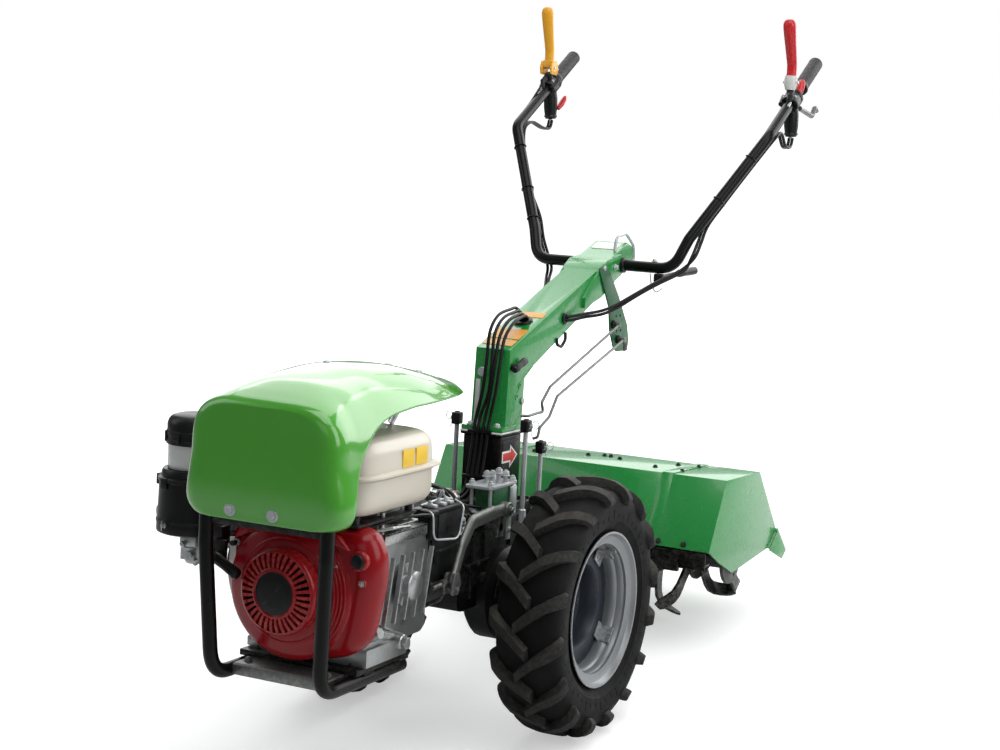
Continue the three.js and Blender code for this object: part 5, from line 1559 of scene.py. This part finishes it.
for side, s, d, lean, rise, material, nodes in (
    ("left", 1, -176, -32, 152.5, "lever_red", ("control_clamp_left", "engine_stop_lever")),
    ("right", -1, -142, -20, 157.5, "yellow", ("control_clamp_right", "throttle_lever")),
):
    piece(f"perch_{side}", perch(s, d), "plastic", "handlebars", nodes[0])
    handle, foot = blade(s, d, lean, rise)
    piece(f"hand_lever_{side}", handle, material, "handlebars", nodes[1])
    socket = bmesh.new()
    x, y, z = foot
    if s > 0:
        sweep(socket, [(x, y, z - 6), (x, y + 1, z + 6), (x, y + 2, z + 18), (x, y + 2.5, z + 26)],
              [11, 15, 15.5, 14], 28, flat=0.9, side=(1, 0, 0))
    else:
        slab(socket, [(y - 12, z - 4), (y + 18, z - 6), (y + 26, z + 10), (y + 14, z + 30),
                      (y - 8, z + 28), (y - 15, z + 12)], "x", x - 16, x - 11, 1.2)
        slab(socket, [(y - 12, z - 4), (y + 18, z - 6), (y + 26, z + 10), (y + 14, z + 30),
                      (y - 8, z + 28), (y - 15, z + 12)], "x", x + 11, x + 16, 1.2)
        box(socket, x - 12, x + 12, y - 8, y + 12, z + 12, z + 30, 3)
    piece(f"lever_socket_{side}", socket, "socket" if s > 0 else "yellow", "handlebars")
    pins = bmesh.new()
    rod(pins, (x - 18, y + 3, z + 12), (x + 18, y + 3, z + 12), 3.6, n=20)
    for k in (-1, 1):
        bolt(pins, on_grip(s, d - 8, 14, 12 * k), GRIP_UP, 3.6, 3)
    rod(pins, on_grip(s, d - 34, -74), on_grip(s, d - 37, -81), 5, n=6)
    rod(pins, on_grip(s, d - 30, 12, 8), on_grip(s, d - 46, 10, 8), 3.2, n=16)
    piece(f"lever_pins_{side}", pins, "zinc", "handlebars")

switch = bmesh.new()
p = on_grip(-1, -150, -50, -16)
sweep(switch, [p + Vector((0, -4, -10)), p + Vector((2, 6, 0)), p + Vector((4, 18, 14)),
               p + Vector((4, 24, 22))], [6, 9, 8, 4], 20, flat=0.6)
q = on_grip(1, -146, 14, 12)
sweep(switch, [q + Vector((0, -10, -12)), q + Vector((0, -2, 0)), q + Vector((0, 8, 14)),
               q + Vector((0, 12, 22))], [6, 10, 9, 4], 20, flat=0.6)
piece("switches", switch, "lever_red", "handlebars")
thumb = bmesh.new()
tube(thumb, [on_grip(1, -150, -34, 6), on_grip(1, -112, -68, 8), on_grip(1, -84, -92, 8),
             on_grip(1, -58, -82, 8), on_grip(1, -52, -96, 8)], 6, 12, 20)
piece("throttle_thumb", thumb, "forged", "handlebars")
tilt_lock = bmesh.new()
box(tilt_lock, 126, 148, BAR_Y - 10, BAR_Y + 10, BAR_Z - 32, BAR_Z - BAR_R - 0.3, 3, 3)
sweep(tilt_lock, [(137, BAR_Y, BAR_Z - 22), (144, 640, BAR_Z - 18), (152, 680, BAR_Z - 14)], [6, 6, 6.5],
      20)
sweep(tilt_lock, [(150, 672, BAR_Z - 14.4), (152, 682, BAR_Z - 13.6), (156, 704, BAR_Z - 11.6),
                  (161, 734, BAR_Z - 9.2), (164, 746, BAR_Z - 8.2), (164.6, 749, BAR_Z - 8)],
                  [6, 9, 8.4, 9.4, 8.8, 5], 24)
piece("tilt_lock_lever", tilt_lock, "plastic", "handlebars", "handlebar_lock_lever")
hook = bmesh.new()
tube(hook, [(112, BAR_Y + 4, BAR_Z - 14), (114, BAR_Y + 10, BAR_Z - 40), (120, BAR_Y + 24, BAR_Z - 58),
            (128, BAR_Y + 40, BAR_Z - 48)], 1.4, 10, 8)
bolt(hook, (122, BAR_Y + 4, BAR_Z + BAR_R - 1), (0, 0.2, 1), 5.5, 5)
piece("tilt_lock_spring", hook, "steel", "handlebars")

# ---------- control cables ----------
LANES = (-16, -5, 8, 21)
FRONT_Y = COLUMN_Y - 66.5
LOW_ROUTES = (
    [(-20, -7, 436), (-30, -120, 452), (-34, -200, 492), (-36, -320, 494), (-66, -380, 482),
     (-68, -460, 480), (-76, -515, 474), (-118, -544, 458), (-160, -546, 428), (-180, -553, 410),
     (-195, -556, 404)],
    [(-8, -9, 434), (-12, -110, 447), (-10, -200, 489), (4, -330, 494), (24, -395, 488), (24, -417, 478)],
    [(8, -9, 434), (0, -110, 450), (6, -200, 490), (66, -222, 490), (98, -246, 474), (102, -261, 463)],
    [(20, -7, 436), (-2, -100, 439), (-4, -160, 478), (26, -204, 494), (88, -226, 486), (112, -250, 474),
     (116, -261, 467)],
)
cables = bmesh.new()
# How far each cable's arch stands above the others, and how far it swings across on its way down.
ARCHES = ((6, -4), (0, 7), (-5, 2), (-9, 9))
for lane, (arch, swing), route in zip(LANES, ARCHES, LOW_ROUTES):
    x = lane * 0.85
    strand(cables, [(lane * 0.4, 226, 764), (lane * 0.4, 220, 784 + arch * 0.5),
                    (lane * 0.6 + 2, 196, 801 + arch), (lane * 0.7 + 4, 166, 800 + arch),
                    (lane * 0.75 + 5, 118 - arch, 790 + arch), (lane * 0.7 + 7, 82 - arch, 762 + arch),
                    (lane * 0.62 + 9 + swing * 0.4, 65 - arch * 0.4, 705),
                    (lane * 0.66 + 6 + swing * 0.5, 62 - abs(arch) * 0.5, 645), (lane * 0.85, 52, 596),
                    (x, FRONT_Y, 569), (x, FRONT_Y - 1, 552), (x, 30, 492), (x, 16, 450)] + route)
for z, half in ((566, 26), (476, 24)):
    y = float(np.interp(z, (450, 492, 566), (16, 30, FRONT_Y)))
    box(cables, -half, half, y - 5.5, y + 5, z - 3.5, z + 3.5, 2)
graph_ob = piece("column_strands", cables, "cable", None, "column_cables", "arm_cables")
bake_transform(graph_ob)


def bar_route(s, k):
    """One cable from the arm's side, past the tilt axis and up the bar to its perch."""
    d = -176 if s > 0 else -142
    entry = on_grip(s, d - 35.5, -78, -4 + 8 * k)
    if s > 0:
        middle_part = [(101, 452, 801 + k * 8), (131, 512, 833 + k * 6), (156, 556, 856 + k * 6),
                       (177, 588, 872 + k * 5), (196 - k * 2, 606, 887 + k * 5), (205 + k * 7, 620, 916),
                       (209 + k * 8, 642, 950), (211 + k * 8, 668, 984)]
    else:
        middle_part = [(-92, 470, 802 + k * 8), (-104 - k * 4, 530, 824 + k * 4),
                       (-118 - k * 8, 572, 848), (-130 - k * 10, 606, 869), (-152 - k * 9, 634, 892),
                       (-176 - k * 8, 650, 934), (-192 - k * 8, 662, 978)]
    return [(s * 36, 330, 779 + k * 6), (s * 50, 342, 779 + k * 8), (s * (62 + k * 4), 380, 784 + k * 8),
            (s * 84, 424, 790 + k * 8)] + middle_part + [
        (s * (238 + k * 8), 698, 1040), (s * (289 + k * 8), 752, 1138), (s * (310 + k * 8), 794, 1186),
        (s * (311 + k * 8), 830, 1200), (s * (311 + k * 8), entry.y - 42, entry.z - 20),
        (s * (311 + k * 8), entry.y - 9, entry.z - 18), tuple(entry)]


bar_cables = bmesh.new()
for s in (1, -1):
    for k in (0, 1):
        strand(bar_cables, bar_route(s, k))
strand(bar_cables, [(-176, 606, 905), (-196, 628, 960), (-222, 650, 1010), (-262, 690, 1086),
                    (-300, 728, 1150), (-318, 770, 1200), (-322, 850, 1256), (-316, 880, 1290)], 2.6)
for s, a in ((1, (238, 690, 1043)), (-1, (238, 690, 1043)), (1, (289, 734, 1138)), (-1, (289, 734, 1138)),
             (-1, (205, 648, 976))):
    # A strap drawn tight round the bar and the cables behind it.
    t = (a[2] - 955) / (1188 - 955)
    centre = Vector((s * (191 + 124 * t), 632 + 125 * t, a[2]))
    along = Vector((s * 124, 125, 233)).normalized()
    held = Vector((s * (a[0] + 4), a[1] + (8 if s > 0 or a[2] > 1100 else 4), a[2]))
    reach = held - centre
    reach -= along * reach.dot(along)
    side = along.cross(reach.normalized())
    loop = [centre + reach.normalized() * 14 * math.cos(t) + side * 14 * math.sin(t)
            for t in np.linspace(math.pi / 2, 3 * math.pi / 2, 14)]
    loop += [centre + reach + reach.normalized() * 5 * math.cos(t) + side * 9 * math.sin(t)
             for t in np.linspace(-math.pi / 2, math.pi / 2, 10)]
    sweep(bar_cables, loop + loop[:1], 1.3, 8)
cable_ob = piece("bar_strands", bar_cables, "cable", None, "bar_cables_left", "bar_cables_right")
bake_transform(cable_ob)

# ---------- tiller ----------
case = from_node("tiller_gearcase", 5, 4, 26)
for s in (1, -1):
    loop = smooth_loop([(446, 316), (480, 366), (560, 384), (690, 384), (726, 300), (720, 230),
                        (690, 196), (650, 184), (620, 196), (596, 236), (562, 288), (510, 306)], 60)
    slab(case, loop, "x", s * 27, s * 33, 2)
    for k in range(12):
        u, v = loop[k * 5]
        p = (u + (600 - u) * 0.06, v + (310 - v) * 0.06)
        bolt(case, (s * 33, *p), (s, 0, 0), 4.6, 4)
    lathe(case, [(0.1, 44), (36, 44), (40, 40), (44, 28), (0.1, 28)], (0, ROTOR_Y, ROTOR_Z), (s, 0, 0),
          56, wrap=False)
lathe(case, [(40, 470), (62, 470), (66, 466), (66, 452), (50, 446), (40, 440)], (0, 0, 336), (0, 1, 0),
      56)
for k in range(6):
    a = 2 * math.pi * k / 6
    bolt(case, (56 * math.cos(a), 224.5, 330 + 56 * math.sin(a)), (0, 1, 0), 6, 5)
piece("tiller_case", case, "casting", "chassis", "tiller_gearcase")

hood = from_node("tiller_hood", 1.6, 3)
hood_bolts = bmesh.new()
BOLT_SPOTS_TOP = [(152, 612), (176, 690), (-8, 690), (-40, 668), (222, 600), (222, 700)]
slope = Vector((0, 0.033, 1))
for s in (1, -1):
    for x, y in BOLT_SPOTS_TOP:
        bolt(hood_bolts, (s * x, y, 443 - (y - 544) * 0.033), slope, 4.6, 3.5)
    for x in (229, 288):
        bolt(hood_bolts, (s * x, 466.5, 306), (0, -0.87, 0.48), 4.8, 3.5)
    bolt(hood_bolts, (s * 30, 508, 384), (0, -0.87, 0.48), 4.8, 3.5)
piece("hood_middle", hood, "green", "chassis", "tiller_hood")
for side, s in (("left", 1), ("right", -1)):
    shell = from_node(f"hood_extension_{side}", 1.6, 3)
    # Joggled lap where the extension bolts over the middle.
    lap = [(464, 299), (545, 445.2), (756, 438.2), (762, 431.5), (544, 440), (468, 298)]
    slab(shell, lap[:3] + [(756, 436.2), (545.5, 443.2), (466, 298)], "x", s * 197.5, s * 224, 0.5)
    piece(f"hood_end_{side}", shell, "green", "chassis", f"hood_extension_{side}")
piece("hood_bolts", hood_bolts, "casting", "chassis")
front = from_node("hood_front_bar", 1.2, 2)
for s in (1, -1):
    box(front, s * 250 - 30, s * 250 + 30, 460, 472, 246, 292, 2)
    box(front, min(s * 300, s * 341), max(s * 300, s * 341), 462, 492, 262, 268, 1.5)
piece("front_bar", front, "black", "chassis", "hood_front_bar")

flap = from_node("rear_flap", 1.2, 2)
for x in (-300, -180, -60, 60, 180, 300):
    rod(flap, (x - 18, 896.9, 280.2), (x + 18, 896.9, 280.2), 6.4, n=28)
for x in (-240, 0, 240):
    slab(flap, [(905, 279), (960, 232), (962, 234.5), (907, 281.5)], "x", x - 9, x + 9, 0.8)
for s in (1, -1):
    slab(flap, [(899, 281), (966, 224), (962, 218), (940, 216), (852, 238), (850, 246)], "x", s * 350.4,
         s * 352.8, 0.5)
piece("rear_flap_sheet", flap, "green", "flap", "rear_flap")

skid = from_node("depth_skid", 2, 3)
for z in (120, 160, 200):
    rod(skid, (-14, 473, z), (14, 473, z), 5, n=20)
bolt(skid, (0, 467, 276), (0, -1, 0), 7, 6)
piece("skid_foot", skid, "forged", "chassis", "depth_skid")


def hooked_tine(bm, x, out, angle):
    """A curved tine bolted to a flange, with its tip bent sideways towards out."""
    part = bmesh.new()
    # (along the sweep, radius, sideways, half width, half thickness)
    line = [(2, 34, 0, 17, 3.5), (3, 60, 0, 17, 3.5), (1, 84, 0, 16, 3.5), (-4, 104, 1, 16, 3.6),
            (-12, 120, 6, 16, 3.6), (-20, 130, 16, 17, 3.4), (-27, 137, 28, 17, 3),
            (-33, 142, 38, 15, 2.6), (-37, 145, 46, 11, 1.8)]
    rings = []
    for i, (sweep_by, r, off, wide, thick) in enumerate(line):
        before, after = line[max(0, i - 1)], line[min(len(line) - 1, i + 1)]
        t = Vector(((after[2] - before[2]) * out, after[0] - before[0],
                    after[1] - before[1])).normalized()
        flatwise = Vector((0, 1, 0))
        flatwise = (flatwise - t * flatwise.dot(t)).normalized()
        normal = t.cross(flatwise)
        p = Vector((off * out, sweep_by, r))
        rings.append([p + flatwise * (a * wide) + normal * (b * thick) for a, b in
                      ((1, 0.35), (0.9, 1), (-0.8, 1), (-1, 0.2), (-1, -0.2), (-0.8, -1), (0.9, -1),
                       (1, -0.35))])
    skin(part, rings)
    for sweep_by, r in ((-6, 44), (8, 46)):
        bolt(part, (out * 3.4, sweep_by, r), (out, 0, 0), 6, 5, washer=0.6)
        rod(part, (-out * 12, sweep_by, r), (-out * 7.6, sweep_by, r), 6.5, n=6)
    part.transform(Matrix.Translation((x, ROTOR_Y, ROTOR_Z)) @ Matrix.Rotation(angle, 4, "X"))
    merged(bm, part)


TINE_FLANGES = ((62, 30, (1, 1)), (156, 172, (1, -1, 1, -1)), (250, 215, (1, -1, 1, -1)),
                (326, 222, (-1, -1)))
for side, s in (("left", 1), ("right", -1)):
    rotor = bmesh.new()
    lathe(rotor, [(0.1, 28.4), (28, 28.4), (28, 40), (26, 44), (26, 336), (24, 338), (0.1, 338)],
          (0, ROTOR_Y, ROTOR_Z), (1, 0, 0), 48, wrap=False)
    for x, turn, feet in TINE_FLANGES:
        lathe(rotor, [(24, x - 9), (34, x - 8), (40, x - 4), (57, x - 4), (58, x - 3), (58, x + 3),
                      (57, x + 4), (40, x + 4), (34, x + 8), (24, x + 9)], (0, ROTOR_Y, ROTOR_Z),
                      (1, 0, 0), 56)
        for k, out in enumerate(feet):
            hooked_tine(rotor, x + (6.5 if out > 0 else -6.5), out,
                        math.radians(turn + 360 * k / len(feet)))
    if s < 0:
        rotor.transform(Matrix.Diagonal((-1, 1, 1, 1)))
    piece(f"rotor_{side}_tines", rotor, "tine", "rotor", f"tiller_rotor_{side}")
